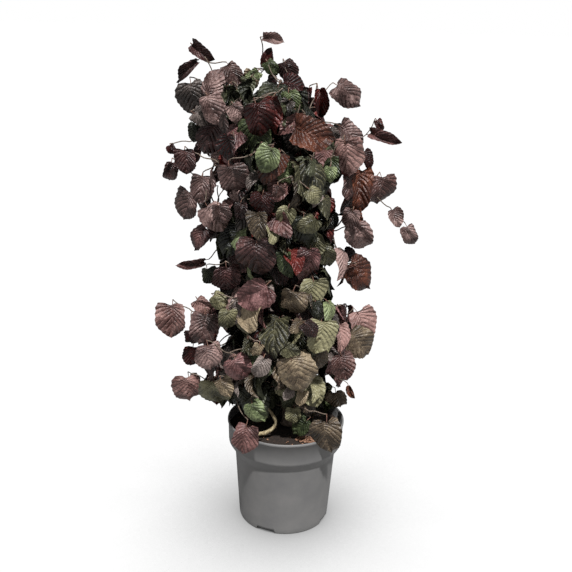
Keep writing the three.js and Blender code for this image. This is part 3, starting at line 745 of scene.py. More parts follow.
full_fan, coarse_fan = fan_weights(rings=5), fan_weights(rings=3)
print("beads on a leaf:", len(full_fan) + 1, "and on a small one:", len(coarse_fan) + 1)


# %% Twigs
def twig_route(start, end):
    length = distance(start, end)
    count = max(1, rounded(length / kink_length))
    first, second = sides_of(unit(end - start))
    route = [start]
    for i in range(1, count):
        point = start + (end - start) * (i / count)
        point = point + first * (between(-kink_share, kink_share) * length)
        route.append(point + second * (between(-kink_share, kink_share) * length))
    return route + [end]


def add_nodes(mass, node, route, radii):
    """A twig's points become joints that later twigs and leaves may grow from."""
    path = node["path"]
    for i, point in enumerate(route[1:]):
        path += distance(point, route[i])
        mass["nodes"].append({"point": point, "radius": radii[i + 1], "path": path,
                              "bare": i < len(route) - 2})


print("a twig kinks every", kink_length, "mm")

# %% Growing a leaf on its twig
path_weight, nodes_tried = 0.25, 3


def leaf_fits(mass, beads, size):
    return (not meets_sky_gap(beads) and clear_of_pot(beads, size)
            and is_free(mass["name"], "leaf", beads, size))


def add_leaf(mass, leaf, beads, size, route, radii):
    leaf.update(route=route, radii=radii, mass=mass["name"])
    mass["leaves"].append(leaf)
    add_beads(mass["name"], "leaf", beads, size)


def grow_leaf(mass, leaf, reach, sizes):
    """Adds a leaf at the end of a twig of its own, if both find a clear way within reach."""
    fan, blade_bead, wood_bead = sizes
    beads = leaf_beads(leaf, fan)
    if not leaf_fits(mass, beads, blade_bead):
        return False
    root = leaf["root"]
    near = [node for node in mass["nodes"] if distance(node["point"], root) < reach]
    near.sort(key=lambda node: distance(node["point"], root) + path_weight * node["path"])
    for node in near[:nodes_tried]:
        route = twig_route(node["point"], root)
        twig_beads = np.array(beads_along(route)[1:])
        if clear_of_pot(twig_beads, wood_bead) and is_free(mass["name"], "twig", twig_beads, wood_bead):
            radii = taper(min(twig_radius, node["radius"]), twig_tip_radius, len(route) - 1)
            add_nodes(mass, node, route, radii)
            add_beads(mass["name"], "twig", twig_beads, wood_bead)
            add_leaf(mass, leaf, beads, blade_bead, route, radii)
            return True
    return False


def hang_leaf(mass, node, leaf, sizes):
    """Hangs a leaf on a bare joint of a twig, if it fits there."""
    fan, blade_bead, _ = sizes
    beads = leaf_beads(leaf, fan)
    if leaf_fits(mass, beads, blade_bead):
        node["bare"] = False
        add_leaf(mass, leaf, beads, blade_bead, [node["point"]], [min(node["radius"], twig_tip_radius)])


def nearest_mass(point):
    return min(masses, key=lambda mass: distance(mass["site"], point))


def root_for(middle, along, normal, length):
    """Where the stalk starts when the blade's middle is to be here."""
    return (middle - along * (length * (blade_middle + petiole_along * petiole_share))
            - normal * (length * petiole_up * petiole_share))


common_sizes = (full_fan, leaf_bead, twig_bead)
print("leaves find a twig within", longest_twig, "mm")

# %% [markdown]
# ## Leaves that stand out, and their tints
# Some leaves catch the eye: the ones that reach past the outline, and the big ones at the front. They
# stand in two tables with their tints, and the rest are scattered. The tint of a scattered leaf goes
# with its place: mauve, plum and grey on the left, rose and rust on the right, maroon and dark green
# at the top, olive and tan low in the middle, and in the crown's heart a dark green-brown as painted
# shade.

# %% Marked leaves
# Across, height, nearness to the front, length, lean of the tip, fold, tint.
marked_leaves = [
    (-196, 1103, 0, 58, 60, 0.9, "plum"), (-228, 1062, 0, 66, -42, 1.15, "plum"),
    (-58, 1092, 0.15, 44, 160, 0.8, "maroon"), (-30, 1062, 0.3, 56, 20, 0.2, "plum"),
    (-86, 1056, 0, 52, -24, 0.3, "tan"), (-130, 1058, 0, 54, 34, 0.5, "mauve"),
    (-50, 1131, 0, 46, 78, 0.9, "mauve"), (-214, 1003, 0.1, 80, 12, 0.1, "grey"),
    (-172, 1034, 0.2, 62, 150, 0.3, "mauve"), (-172, 985, 0.5, 66, 30, 0.2, "mauve"),
    (111, 1004, 0.1, 84, 66, 0.2, "mauve"), (54, 1000, 0.2, 74, 10, 1.1, "maroon"),
    (-74, 964, 0.95, 74, 15, 0.05, "maroon"), (41, 941, 0.85, 84, 78, 0.5, "rust"),
    (123, 942, 0.2, 62, 60, 0.3, "mauve"), (196, 934, 0, 72, 84, 1.1, "plum"),
    (117, 888, 0.6, 78, 10, 0.05, "rose"), (200, 814, 0, 76, 8, 0.25, "rose"),
    (154, 818, 0.1, 94, 8, 0.9, "rust"), (-229, 858, 0.2, 62, -10, 0.3, "plum"),
    (-182, 922, 0.3, 74, -20, 0.2, "plum"), (-224, 912, 0, 74, -40, 1.2, "plum"),
    (-268, 842, 0, 58, -6, 0.9, "plum"), (-131, 821, 0.8, 80, 12, 0.1, "mauve"),
    (-198, 812, 0.4, 68, -18, 0.1, "mauve"), (-238, 772, 0, 72, -24, 0.3, "mauve"),
    (-166, 752, 0.6, 84, 8, 0.1, "mauve"), (-204, 695, 0.1, 66, -32, 0.7, "plum"),
    (232, 757, 0, 44, 30, 0.5, "mauve"), (268, 716, 0, 56, 30, 0.6, "mauve"),
    (152, 712, 0.2, 84, 16, 0.5, "mauve"), (158, 621, 0.1, 86, 48, 0.25, "rust"),
    (-226, 638, 0, 72, -76, 1.2, "plum"), (-143, 598, 0.5, 74, 4, 0.2, "wine"),
    (-74, 652, 0.95, 94, 4, 0.05, "plum"), (-84, 565, 0.9, 84, -50, 0.3, "wine"),
    (0, 543, 0.9, 80, -6, 0.1, "tan"), (88, 676, 0.75, 68, 6, 0.15, "olive"),
    (57, 569, 0.8, 74, 4, 0.15, "olive"), (-273, 497, 0, 84, -4, 0.4, "rose"),
    (-202, 478, 0.3, 78, -10, 0.2, "mauve"), (176, 500, 0.1, 78, 30, 0.15, "rose"),
    (170, 446, 0.3, 84, 50, 0.2, "tan"), (134, 392, 0.45, 68, 20, 0.2, "rose"),
    (-172, 418, 0.75, 76, 4, 0.1, "mauve"), (-107, 374, 0.9, 72, 30, 0.2, "wine"),
    (-232, 316, 0, 82, 4, 0.1, "rose"), (-168, 306, 0.5, 90, 10, 0.2, "olive"),
    (21, 367, 0.95, 94, 18, 0.1, "tan"), (123, 299, 0.1, 62, 12, 0.3, "tan"),
    (-101, 191, 1, 76, -8, 0.2, "plum"), (105, 203, 0.95, 90, 8, 0.15, "tan"),
    (36, 231, 0.56, 56, -40, 0.3, "green"),
]
marked_tries, marked_stray, marked_shrink, marked_inset = 12, 2.5, 0.02, 12
lowest_marked_level, highest_marked_level = 300, 1070


def grow_marked_leaves(table, sizes):
    """Each try that meets a neighbour lets the leaf stray a little further and be a little smaller."""
    for across, height, nearness, full_length, lean, fold, tint in table:
        half_depth = crown_at(min(max(height, lowest_marked_level), highest_marked_level))[3]
        for attempt in range(marked_tries):
            stray = marked_stray * attempt
            depth = -nearness * (half_depth - marked_inset) + between(-stray, stray)
            middle = place_seen(across + between(-stray, stray), height + between(-stray, stray), depth)
            length = full_length * (1 - marked_shrink * attempt)
            tip = math.radians(lean + between(-stray, stray))
            along = unit(np.array([math.sin(tip), between(-0.25, 0.1), -math.cos(tip)]))
            facing = np.array([between(-0.3, 0.3), -1, between(0.1, 0.5)])
            normal = unit(facing - along * (facing @ along))
            root = root_for(middle, along, normal, length)
            leaf = make_leaf(root, along, normal, length, between(*leaf_curls), fold)
            leaf["tint"] = tint
            if grow_leaf(nearest_mass(middle), leaf, longest_shoot, sizes):
                break


grow_marked_leaves(marked_leaves, common_sizes)
print("marked leaves:", sum(len(mass["leaves"]) for mass in masses), "of", len(marked_leaves))


# %% How a common leaf hangs
def hanging_way(place, lengths, wildness):
    """The way a common leaf hangs: outward from the crown's middle, drooping, a little turned."""
    outward = math.atan2(place[1], place[0]) + between(-leaf_stray, leaf_stray)
    dip = between(*leaf_dips)
    level = np.array([math.cos(outward), math.sin(outward), 0.0])
    up = np.array([0, 0, 1.0])
    along = level * math.cos(dip) - up * math.sin(dip)
    facing = level * math.sin(dip) + up * math.cos(dip)
    twist = between(-leaf_twist, leaf_twist) * wildness
    normal = facing * math.cos(twist) + cross(along, facing) * math.sin(twist)
    return along, normal, between(*lengths), between(*leaf_curls), between(*leaf_folds) * wildness


def inside_crown(leaf, limit):
    return all(crown_share(point) < limit for point in leaf_rim(leaf))


print("leaves droop", [round(math.degrees(dip)) for dip in leaf_dips], "degrees")

# %% Scattered leaves
hung_share, common_rounds, most_common_leaves = 0.4, 2600, 11


def try_hung_leaf(mass, lengths, sizes, limit, wildness):
    """A leaf on a bare joint that a draw of chance picks."""
    bare_nodes = [node for node in mass["nodes"] if node["bare"]]
    pick = math.floor(chance() * len(bare_nodes))
    if bare_nodes:
        node = bare_nodes[pick]
        leaf = make_leaf(node["point"], *hanging_way(node["point"], lengths, wildness))
        if inside_crown(leaf, limit):
            hang_leaf(mass, node, leaf, sizes)


def try_new_leaf(mass, lengths, sizes, limit, heart, wildness):
    """A leaf with a twig of its own, at a place near the mass that chance picks."""
    stray = np.array([between(-mass_reach, mass_reach), between(-mass_reach, mass_reach),
                      between(-mass_rise, mass_rise)])
    middle = mass["site"] + stray
    along, normal, length, curl, fold = hanging_way(middle, lengths, wildness)
    if nearest_mass(middle) is mass and crown_share(middle) > heart:
        leaf = make_leaf(root_for(middle, along, normal, length), along, normal, length, curl, fold)
        if inside_crown(leaf, limit):
            grow_leaf(mass, leaf, longest_twig, sizes)


def scatter_leaves(rounds, most, lengths, sizes, limit, heart, wildness=1):
    """Tries for leaves between the open heart and the limit, until each mass has the most it may."""
    for _ in range(rounds):
        for mass in [mass for mass in masses if len(mass["leaves"]) < most]:
            if chance() < hung_share:
                try_hung_leaf(mass, lengths, sizes, limit, wildness)
            else:
                try_new_leaf(mass, lengths, sizes, limit, heart, wildness)


scatter_leaves(common_rounds, most_common_leaves, leaf_lengths, common_sizes, limit=1,
               heart=open_heart)
cad_leaves = sum(len(mass["leaves"]) for mass in masses)
print("leaves of the CAD:", cad_leaves, "after", round(time.time() - started), "s")

# %% [markdown]
# ## Finer growth
# The rule goes on within the same reach. Smaller leaves need less room, so they fill the places
# between the large ones, hang on the bare joints, and close the crown where no sky shows through.

# %% Smaller leaves that stand out
# The columns are those of the first table. The sizes are the pattern of the beads along a leaf, the
# radius of a blade's beads and the radius of a twig's beads.
noticed_leaves = [
    (-6, 1033, 0.5, 50, 80, 0.4, "maroon"), (-122, 975, 0.7, 50, 30, 0.2, "mauve"),
    (-75, 866, 0.95, 66, -20, 0.2, "green"), (-31, 854, 0.9, 56, 40, 0.2, "green"),
    (72, 812, 0.9, 50, 60, 0.2, "olive"), (50, 735, 0.9, 56, -30, 0.2, "olive"),
    (97, 684, 0.8, 50, 10, 0.2, "olive"), (10, 871, 0.9, 54, 0, 0.3, "tan"),
    (-157, 757, 0.7, 50, 20, 0.2, "mauve"), (-65, 777, 0.9, 56, 0, 0.1, "maroon"),
    (162, 886, 0.1, 46, 30, 0.6, "maroon"), (71, 775, 0.3, 50, -10, 0.4, "maroon"),
    (113, 827, 0.3, 52, 5, 0.2, "painted_shade"), (184, 960, 0, 36, 30, 0.8, "maroon"),
    (-49, 822, 0.9, 40, 10, 0.4, "rose"), (-12, 750, 0.9, 48, -10, 0.3, "olive"),
    (-200, 965, 0.4, 44, 60, 0.2, "grey"), (-38, 1058, 0.3, 44, 20, 0.5, "green"),
    (-80, 1057, 0.5, 40, -30, 0.4, "green"), (-10, 1002, 0.6, 52, 10, 0.3, "green"),
    (32, 1016, 0.2, 36, 0, 0.8, "maroon"), (91, 957, 0.3, 44, 30, 0.4, "grey"),
    (-259, 885, 0, 28, 20, 0.4, "maroon"), (-216, 933, 0.2, 40, -20, 0.4, "painted_shade"),
    (131, 748, 0.4, 56, -20, 0.3, "mauve"), (44, 847, 0.8, 50, 0, 0.2, "painted_shade"),
    (-130, 515, 0.7, 62, 0, 0.2, "olive"), (-77, 409, 0.8, 56, 20, 0.2, "green"),
    (71, 407, 0.7, 60, 30, 0.2, "tan"), (91, 490, 0.5, 56, -20, 0.3, "olive"),
    (120, 556, 0.3, 56, 30, 0.3, "olive"), (39, 644, 0.8, 70, 0, 0.3, "wine"),
    (58, 680, 0.7, 56, 10, 0.2, "olive"), (-227, 408, 0.1, 56, -10, 0.2, "maroon"),
    (145, 338, 0.1, 44, 20, 1.1, "rust"), (-197, 534, 0.2, 50, 40, 0.3, "rose"),
    (-55, 352, 0.8, 50, -20, 0.3, "olive"), (-93, 298, 0.7, 56, 0, 0.2, "painted_shade"),
    (-69, 265, 0.9, 58, 30, 0.3, "green"), (-182, 604, 0.2, 50, 20, 0.2, "painted_shade"),
    (-230, 452, 0.1, 46, 0, 0.4, "maroon"), (-13, 446, 0.8, 60, 40, 0.2, "painted_shade"),
    (-159, 545, 0.5, 46, 60, 0.3, "olive"), (-5, 622, 0.8, 48, 0, 0.3, "green"),
    (-147, 329, 0.8, 50, 30, 0.2, "tan"), (5, 431, 0.9, 44, 60, 0.4, "olive"),
    (120, 613, 0.2, 44, -10, 0.6, "rust"), (-44, 542, 0.7, 44, 0, 0.3, "painted_shade"),
]
fine_sizes = (coarse_fan, 2.6, 2.0)
finest_sizes = (coarse_fan, 1.6, 1.4)
grow_marked_leaves(noticed_leaves, fine_sizes)
print("smaller marked leaves:", sum(len(mass["leaves"]) for mass in masses) - cad_leaves,
      "of", len(noticed_leaves))

# %% Finer leaves
# Rounds, the most leaves of a mass, their lengths, their beads, the limit, the open heart, wildness.
finer_growth = [(900, 28, (46, 78), fine_sizes, 0.99, 0.2, 1.8),
                (1200, 52, (34, 66), finest_sizes, 0.98, 0.1, 2.4)]
for settings in finer_growth:
    scatter_leaves(*settings)
leaves = [leaf for mass in masses for leaf in mass["leaves"]]
print("leaves in all:", len(leaves), "after", round(time.time() - started), "s")

# %% Tints dealt out by spray
# Each leaf gets a spray number from 0 to 1, which also bends its blade, and a tint of its zone.
tint_choices = {
    "left": ("mauve", "mauve", "plum", "grey", "grey", "maroon", "wine"),
    "right": ("rose", "mauve", "rust", "plum", "grey", "maroon", "wine"),
    "top": ("maroon", "plum", "painted_shade", "rust", "green", "painted_shade", "grey", "olive"),
    "front": ("painted_shade", "grey", "olive", "olive", "green", "maroon", "plum", "tan"),
    "low": ("olive", "tan", "green", "olive", "grey", "tan"),
    # The heart gets mostly the shade tint, which is painted shade.
    "heart": ("painted_shade", "painted_shade", "painted_shade", "maroon", "painted_shade"),
}
heart_share, front_half_width, front_depth, top_from, front_from = 0.62, 100, 60, 900, 560
marked_sprays = (0.3, 0.7)


def zone_of(point):
    """The part of the crown that a leaf's base lies in."""
    if crown_share(point) < heart_share:
        return "heart"
    if abs(point[0]) < front_half_width and point[1] < front_depth:
        if point[2] > top_from:
            return "top"
        return "front" if point[2] > front_from else "low"
    return "left" if point[0] < 0 else "right"


for leaf in leaves:
    marked = "tint" in leaf
    leaf["spray"] = between(*marked_sprays) if marked else chance()
    if not marked:
        choices = tint_choices[zone_of(leaf["base"])]
        leaf["tint"] = choices[math.floor(chance() * len(choices))]
print("leaves of each tint:", {tint: sum(leaf["tint"] == tint for leaf in leaves)
                               for tint in sorted({leaf["tint"] for leaf in leaves})})

# %% [markdown]
# ## Leaf blades
# A hazel leaf is broad, with a heart-shaped base, a short tip, a toothed edge, and up to nine pairs of
# side veins that fold the blade into pleats. A flat card with a picture would need an image, so each
# blade is a small grid: its rows slope up towards the edge as the veins do, every second row is
# raised into a pleat, and the rows' ends step in and out as teeth.

# %% Leaf template
columns, rows = 6, 18
bm = bmesh.new()
bmesh.ops.create_grid(bm, x_segments=columns, y_segments=rows, size=1.0)
bm.verts.ensure_lookup_table()
grid_across = np.array([vert.co.x for vert in bm.verts])
grid_along = np.array([(vert.co.y + 1) / 2 for vert in bm.verts])
grid_faces = np.array([[vert.index for vert in face.verts] for face in bm.faces])
bm.free()
# Each row leaves the midrib at one share of the length and ends on the outline further up.
row_share = (0, 0.1, 0.2, 0.35, 0.5, 0.65, 0.8, 0.9, 1)
outline_across = (0.15, 0.35, 0.45, 0.49, 0.47, 0.39, 0.26, 0.14, 0.0)
outline_along = (-0.04, -0.06, 0.06, 0.31, 0.54, 0.71, 0.85, 0.93, 1.0)
midrib_along = (0, 0.005, 0.02, 0.06, 0.13, 0.26, 0.46, 0.69, 1.0)
vein_bend, pleat_rise, tooth_size, tooth_from = 1.25, 0.011, 0.032, 0.9
is_inner_row = (grid_along < 0.99) * (grid_along > 0.01)
ridge = np.where(np.round(grid_along * rows) % 2 == 0, 1.0, -1.0) * is_inner_row
edge = np.abs(grid_across)
teeth = 1 + tooth_size * ridge * (edge > tooth_from)
template_across = grid_across * np.interp(grid_along, row_share, outline_across) * teeth
rib_place, rim_place = (np.interp(grid_along, row_share, line)
                        for line in (midrib_along, outline_along))
template_along = rib_place + (rim_place - rib_place) * edge ** vein_bend
template_pleat = ridge * pleat_rise * np.sin(math.pi * np.clip(edge, 0.06, 0.9))
template_uv = np.stack([(grid_across + 1) / 2, grid_along], axis=1)
print("one leaf has", len(grid_faces), "faces")


# %% Leaf meshes
# How far a blade strays from the template, in shares of its length: each number is a size, and the
# leaf's own phase says how much of it this leaf takes, and where along the blade.
widest, narrower, edge_nick = 1.08, 0.12, 0.05
wave_size, crumple_size, cross_crumple_size = 0.08, 0.03, 0.02
roll_size, tip_bend_size, tip_from, sway_size = 0.12, 0.16, 0.55, 0.07


def blade_points(leaf):
    """The template laid on the leaf's own frame, with pleats, crumples, a wavy edge and a bent tip."""
    phase = leaf["spray"] * 40
    nicks = edge_nick * edge * np.sin(grid_along * 13 + phase * 5)
    width = widest - narrower * (phase % 1.3) - nicks
    points = leaf_points(leaf, template_across * width, template_along)
    wave = wave_size * edge ** 2 * np.sin(grid_along * (5 + phase % 6) + phase
                                          + 1.7 * np.sign(grid_across))
    crumple = (crumple_size * np.sin(grid_along * 9 + grid_across * 3.1 + phase * 1.7)
               + cross_crumple_size * np.sin(grid_along * 7 - grid_across * 6.3 + phase * 2.9))
    roll = -roll_size * (phase % 1.7) * edge ** 3
    bend = -tip_bend_size * (phase % 1.1) * np.clip(grid_along - tip_from, 0, 1) ** 1.5
    lift = (template_pleat + wave + crumple + roll + bend) * leaf["length"]
    sway = sway_size * leaf["length"] * np.sin(grid_along * 3 + phase * 2)
    return points + leaf["upper"] * lift[:, None] + leaf["across"] * sway[:, None]


def joined_leaves(name, group):
    """One mesh from the blades of a group, with their UV map and their spray's number."""
    points = np.vstack([blade_points(leaf) for leaf in group]) * MM
    count = len(grid_across)
    faces = np.vstack([grid_faces + i * count for i in range(len(group))])
    mesh = bpy.data.meshes.new(name)
    mesh.from_pydata(points.tolist(), [], faces.tolist())
    uv = mesh.uv_layers.new(name="blade")
    corners = np.tile(template_uv[grid_faces].reshape(-1, 2), (len(group), 1))
    uv.data.foreach_set("uv", corners.ravel())
    spray = mesh.attributes.new("spray", "FLOAT", "POINT")
    spray.data.foreach_set("value", np.repeat([leaf["spray"] for leaf in group], count))
    mesh.polygons.foreach_set("use_smooth", np.ones(len(faces), bool))
    mesh.update()
    return mesh


print("the leaf helpers are ready")

# %% Leaf material: a matt, pleated leaf
# A hazel leaf is thin, with fine hairs, so its shine is broad and weak. Its side veins are a little
# paler, the blade bulges and crinkles between them, and the tint drifts in patches across each leaf.
vein_pairs, vein_wander, vein_from, vein_share, midrib_half = 9, 0.14, 0.72, 0.42, 0.03
drift_mm, crinkle_mm, crinkle_rise, relief_metres, spray_weight = 36, 6, 1.8, 0.0021, 0.6


def leaf_material(name, dark, middle, light):
    material, tree, shader = new_material(name)
    place = add_node(tree, "TexCoord", {})
    spray = add_node(tree, "Attribute", {}, attribute_name="spray")
    drift = add_node(tree, "TexNoise", {
        "Vector": place.outputs["Object"], "Scale": 1000 / drift_mm, "Detail": 4.0, "Roughness": 0.65})
    mix = add_node(tree, "Math", {0: spray.outputs["Fac"], 1: spray_weight, 2: drift},
                   operation="MULTIPLY_ADD")
    tone = colour_steps(add_node(tree, "ValToRGB", {"Fac": mix}),
                        [(0.55, dark), (0.78, middle), (0.98, light)])
    # The midrib is the line where U is a half, and a side vein each crest of a wave along V.
    blade = add_node(tree, "SeparateXYZ", {"Vector": place.outputs["UV"]})
    centred = add_node(tree, "Math", {0: blade.outputs["X"], 1: 0.5}, operation="SUBTRACT")
    off_middle = add_node(tree, "Math", {0: centred}, operation="ABSOLUTE")
    midrib = add_node(tree, "MapRange", {
        "Value": off_middle, "From Min": midrib_half, "From Max": 0.0}, interpolation_type="SMOOTHSTEP")
    along = add_node(tree, "Math", {0: drift, 1: vein_wander, 2: blade.outputs["Y"]},
                     operation="MULTIPLY_ADD")
    wave = add_node(tree, "Math", {0: along, 1: vein_pairs * 2 * math.pi}, operation="MULTIPLY")
    crest = add_node(tree, "Math", {0: wave}, operation="COSINE")
    vein = add_node(tree, "MapRange", {
        "Value": crest, "From Min": vein_from, "From Max": 1.0}, interpolation_type="SMOOTHSTEP")
    lines = add_node(tree, "Math", {0: vein, 1: midrib}, operation="MAXIMUM")
    share = add_node(tree, "Math", {0: lines, 1: vein_share}, operation="MULTIPLY")
    veined = add_node(tree, "Mix", {"Factor": share, "A": tone, "B": linear(light)},
                      data_type="RGBA")
    # A pleat is half a wave between two veins, and crinkles lie on it.
    half_wave = add_node(tree, "Math", {0: along, 1: vein_pairs * math.pi}, operation="MULTIPLY")
    swell = add_node(tree, "Math", {0: half_wave}, operation="SINE")
    pleat = add_node(tree, "Math", {0: swell}, operation="ABSOLUTE")
    crinkle = add_node(tree, "TexNoise", {
        "Vector": place.outputs["Object"], "Scale": 1000 / crinkle_mm, "Detail": 3.0})
    relief = add_node(tree, "Math", {0: crinkle, 1: crinkle_rise, 2: pleat},
                      operation="MULTIPLY_ADD")
    bump = add_node(tree, "Bump", {
        "Strength": 1.0, "Distance": relief_metres, "Height": relief})
    set_inputs(shader, {"Base Color": veined, "Normal": bump, "Roughness": 0.42, "IOR": 1.43,
                        "Specular IOR Level": 0.6})
    return material


print("veins:", vein_pairs, "pairs")

# %% Leaves
# Each tint has a slot name, which nothing here uses, and the colours of its darkest, its middle and its
# palest patches.
tints = {
    "mauve": ("leaves_mauve", "#2a1d19", "#553f3c", "#9f837d"),
    "plum": ("leaves_mauve", "#190d0b", "#382120", "#76534f"),
    "maroon": ("leaves_mauve", "#130606", "#2f0c0a", "#66251f"),
    "grey": ("leaves_mauve", "#1d1916", "#413935", "#8a7d77"),
    # The shade tint is painted shade: near-black green-brown leaves that stand for the shade in the
    # heart of the crown and in its dark places.
    "painted_shade": ("leaves_mauve", "#0b0d09", "#212317", "#4c4e39"),
    "rose": ("leaves_rose", "#2e1a17", "#5b3d38", "#9f7c75"),
    "wine": ("leaves_rose", "#211011", "#4c2d2c", "#936b69"),
    "rust": ("leaves_rose", "#220d06", "#421f13", "#75432e"),
    "olive": ("leaves_olive", "#232216", "#494732", "#8d8868"),
    "tan": ("leaves_olive", "#2d241a", "#57493a", "#98876e"),
    "green": ("leaves_olive", "#1a2210", "#3e482c", "#869167"),
}
for tint, (slot_name, dark, middle, light) in tints.items():
    group = [leaf for leaf in leaves if leaf["tint"] == tint]
    if group:
        material = leaf_material(f"hazel_leaf_{tint}", dark, middle, light)
        nodes = sorted({leaf["mass"] for leaf in group})
        finished_piece(f"leaves_{tint}", joined_leaves(tint, group), material, nodes)
print("leaf triangles:", 2 * len(grid_faces) * len(leaves))

# %% [markdown]
# ## Wood
# Contorted hazel wood is grey-tan and nearly smooth, with fine lengthwise cracks and pale pores. A
# curve with a round bevel follows each route, thins towards its tip, and becomes a mesh, whose
# surface noise then pushes in and out as bark.


# %% Wood meshes
def tube_mesh(name, runs, sides):
    """One mesh from (route, radii) runs in millimetres, each a round tube with closed ends."""
    curve = bpy.data.curves.new(name, "CURVE")
    curve.dimensions = "3D"
    curve.bevel_depth = MM
    curve.bevel_resolution = sides // 2 - 2
    curve.use_fill_caps = True
    for route, radii in runs:
        spline = curve.splines.new("POLY")
        spline.points.add(len(route) - 1)
        for point, place, radius in zip(spline.points, route, radii):
            point.co = (*(place * MM), 1.0)
            point.radius = radius
    carrier = bpy.data.objects.new(name, curve)
    mesh = bpy.data.meshes.new_from_object(carrier)
    bpy.data.objects.remove(carrier)
    bm = bmesh.new()
    bm.from_mesh(mesh)
    bmesh.ops.remove_doubles(bm, verts=bm.verts, dist=1e-6)
    bmesh.ops.recalc_face_normals(bm, faces=bm.faces)
    for face in bm.faces:
        face.smooth = len(face.verts) < 5
    bm.to_mesh(mesh)
    bm.free()
    return mesh


print("the tube helper is ready")

# %% Bark relief and fine twigs
bark_drawn_out, twig_piece, twig_swing_share = 0.35, 9, 0.07


def barked(mesh, depth_mm, per_metre):
    """Pushes a limb's surface in and out by noise that is drawn out along the height."""
    for vertex in mesh.vertices:
        place = Vector((vertex.co.x, vertex.co.y, vertex.co.z * bark_drawn_out)) * per_metre
        vertex.co += vertex.normal * (noise.fractal(place, 1.0, 2.0, 3) * depth_mm * MM)
    return mesh


def contorted_twig(route, radii):
    """A twig's route made finer: a small corkscrew on each straight stretch, fading at its ends."""
    points, fine_radii = [route[0]], [radii[0]]
    for a, b, first_radius, last_radius in zip(route, route[1:], radii, radii[1:]):
        steps = max(2, math.ceil(distance(a, b) / twig_piece))
        points += contorted_route(a, b, twig_swing_share * distance(a, b), between(0, 360), steps)[1:]
        fine_radii += taper(first_radius, last_radius, steps)[1:]
    return points, fine_radii


print("twigs get a point every", twig_piece, "mm")


# %% Wood material: young hazel bark
# Young hazel bark is thin, satin and grey-tan, clouded with grey lichen and dotted with pale pores.
crack_mm, crack_drawn_out = 4.0, 0.3


def bark_material(name, dark, middle, light):
    material, tree, shader = new_material(name)
    place = add_node(tree, "TexCoord", {})
    drawn_out = add_node(tree, "Mapping", {
        "Vector": place.outputs["Object"], "Scale": (1, 1, crack_drawn_out)})
    cracks = add_node(tree, "TexNoise", {
        "Vector": drawn_out, "Scale": 1000 / crack_mm, "Detail": 5.0, "Roughness": 0.65})
    tone = colour_steps(add_node(tree, "ValToRGB", {"Fac": cracks}),
                        [(0.32, dark), (0.5, middle), (0.7, light)])
    bump = add_node(tree, "Bump", {"Strength": 0.6, "Distance": 0.001, "Height": cracks})
    set_inputs(shader, {"Base Color": tone, "Normal": bump, "Roughness": 0.72})
    return material


hazel_bark = bark_material("young_hazel_bark", "#3f342b", "#6a5c4f", "#93857a")
pale_bark = bark_material("pale_shoot_bark", "#6b5d47", "#9c8b6b", "#cbbf9d")
print("bark cracks", crack_mm, "mm")

# %% Runs for the tubes
stalk_bend, stalk_end, stalk_foot_radius, stalk_tip_radius, stem_tapering = 0.6, 0.12, 1.0, 0.4, 0.5


def above_soil(route, radii):
    """The part of a limb that the soil doesn't hide."""
    seen = [(point, radius) for point, radius in zip(route, radii) if point[2] > soil_top - soil_sunk]
    return [point for point, _ in seen], [radius for _, radius in seen]


def stalk_run(leaf):
    """A leaf's stalk, bent a little, and thinning to a point on the blade's midrib."""
    half_way = (leaf["root"] + leaf["base"]) / 2 + leaf["along"] * stalk_bend
    route = [leaf["root"], half_way, leaf["base"], leaf_points(leaf, [0], [stalk_end])[0]]
    return route, [stalk_foot_radius, petiole_radius, petiole_radius, stalk_tip_radius]


limb_runs = [above_soil(limb["smooth"], limb["radii"]) for limb in limbs]
twig_runs = [(mass["stem"], taper(stem_radius, stem_radius - stem_tapering, 3)) for mass in masses]
twig_runs += [contorted_twig(leaf["route"], leaf["radii"]) for leaf in leaves if len(leaf["route"]) > 1]
print("tubes:", len(limb_runs), "limbs,", len(twig_runs), "twigs and stems,", len(leaves), "stalks")

# %% Limbs, twigs and stalks
limb_mesh = barked(tube_mesh("limbs", limb_runs, sides=12), depth_mm=0.7, per_metre=90)
finished_piece("limbs", limb_mesh, hazel_bark, [limb["name"] for limb in limbs])
twig_mesh = tube_mesh("twigs", twig_runs, sides=4)
finished_piece("twigs", twig_mesh, hazel_bark, [mass["name"] for mass in masses])
stalk_mesh = tube_mesh("petioles", [stalk_run(leaf) for leaf in leaves], sides=4)
stalk_material = bark_material("leaf_stalk", "#4a2f29", "#6e4c3f", "#8d6c58")
finished_piece("leaf_stalks", stalk_mesh, stalk_material, [])
print("wood faces:", len(limb_mesh.polygons), len(twig_mesh.polygons), len(stalk_mesh.polygons))

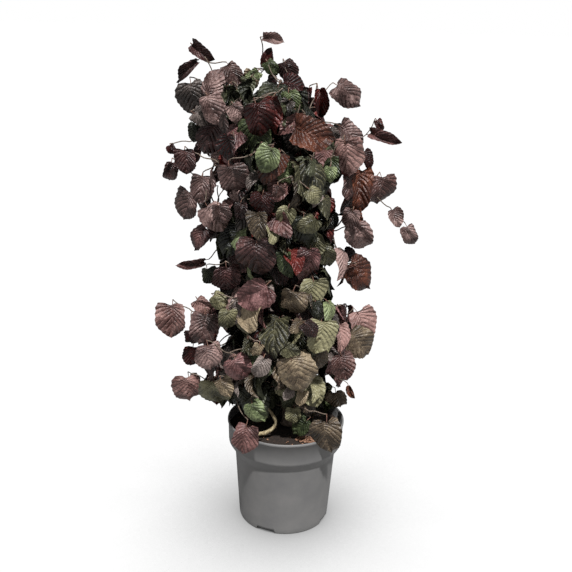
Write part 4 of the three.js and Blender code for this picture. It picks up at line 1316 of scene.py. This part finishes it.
# %% Pale shoot
shoot_mesh = with_modifiers(tube_mesh("shoot", [(shoot_route, shoot_radii)], sides=12),
                            [("SUBSURF", {"levels": 2, "render_levels": 2})])
shoot_mesh = barked(shoot_mesh, depth_mm=1.5, per_metre=70)
finished_piece("bent_shoot", shoot_mesh, pale_bark, ["pale_shoot"])
print("pale shoot:", len(shoot_mesh.vertices), "vertices")

# %% Bark chips on the soil
# Chips of milled pine bark are flat, angular and reddish brown. A few lie about on the peat, and a
# small heap of them lies near the rim, as in the photo.
heap_middle, heap_half, heap_height, heap_chips, loose_chips = (50, -72), (25.5, 15), 8, 110, 60
chip_material = bark_material("milled_pine_bark", "#4a3125", "#7b5844", "#b08e73")
bm = bmesh.new()
for number in range(heap_chips + loose_chips):
    turn, out = between(0, 2 * math.pi), math.sqrt(chance())
    x, y, rise = (soil_radius - 8) * out * math.cos(turn), (soil_radius - 8) * out * math.sin(turn), 0
    sizes = (2.5, 6)
    if number < heap_chips:
        x = heap_middle[0] + heap_half[0] * out * math.cos(turn)
        y = heap_middle[1] + heap_half[1] * out * math.sin(turn)
        rise, sizes = heap_height * (1 - out) * chance(), (3.5, 9)
    size = between(*sizes)
    place = (Matrix.Translation((x * MM, y * MM, (soil_top - 0.6 + rise) * MM))
             @ Matrix.Rotation(between(0, 3), 4, "Z") @ Matrix.Rotation(between(-0.5, 0.5), 4, "X")
             @ Matrix.Diagonal((size * MM, size * between(0.4, 0.8) * MM, between(1.2, 3) * MM, 1)))
    bmesh.ops.create_icosphere(bm, subdivisions=1, radius=0.6, matrix=place)
bmesh.ops.remove_doubles(bm, verts=bm.verts, dist=1e-6)
chip_mesh = mesh_from(bm, "bark_chips")
finished_piece("bark_chips", chip_mesh, chip_material, [])
print("chips:", len(chip_mesh.polygons) // 20)

# %% [markdown]
# ## Sizes
# The finished bush is meant to fill the same space as its CAD model, apart from the tips of a few
# leaves.
# Both boxes are printed, so that they can be laid side by side.

# %% Sizes and finish
new_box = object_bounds()
print("CAD box", cad_box, "visual box", new_box, "after", round(time.time() - started), "s")
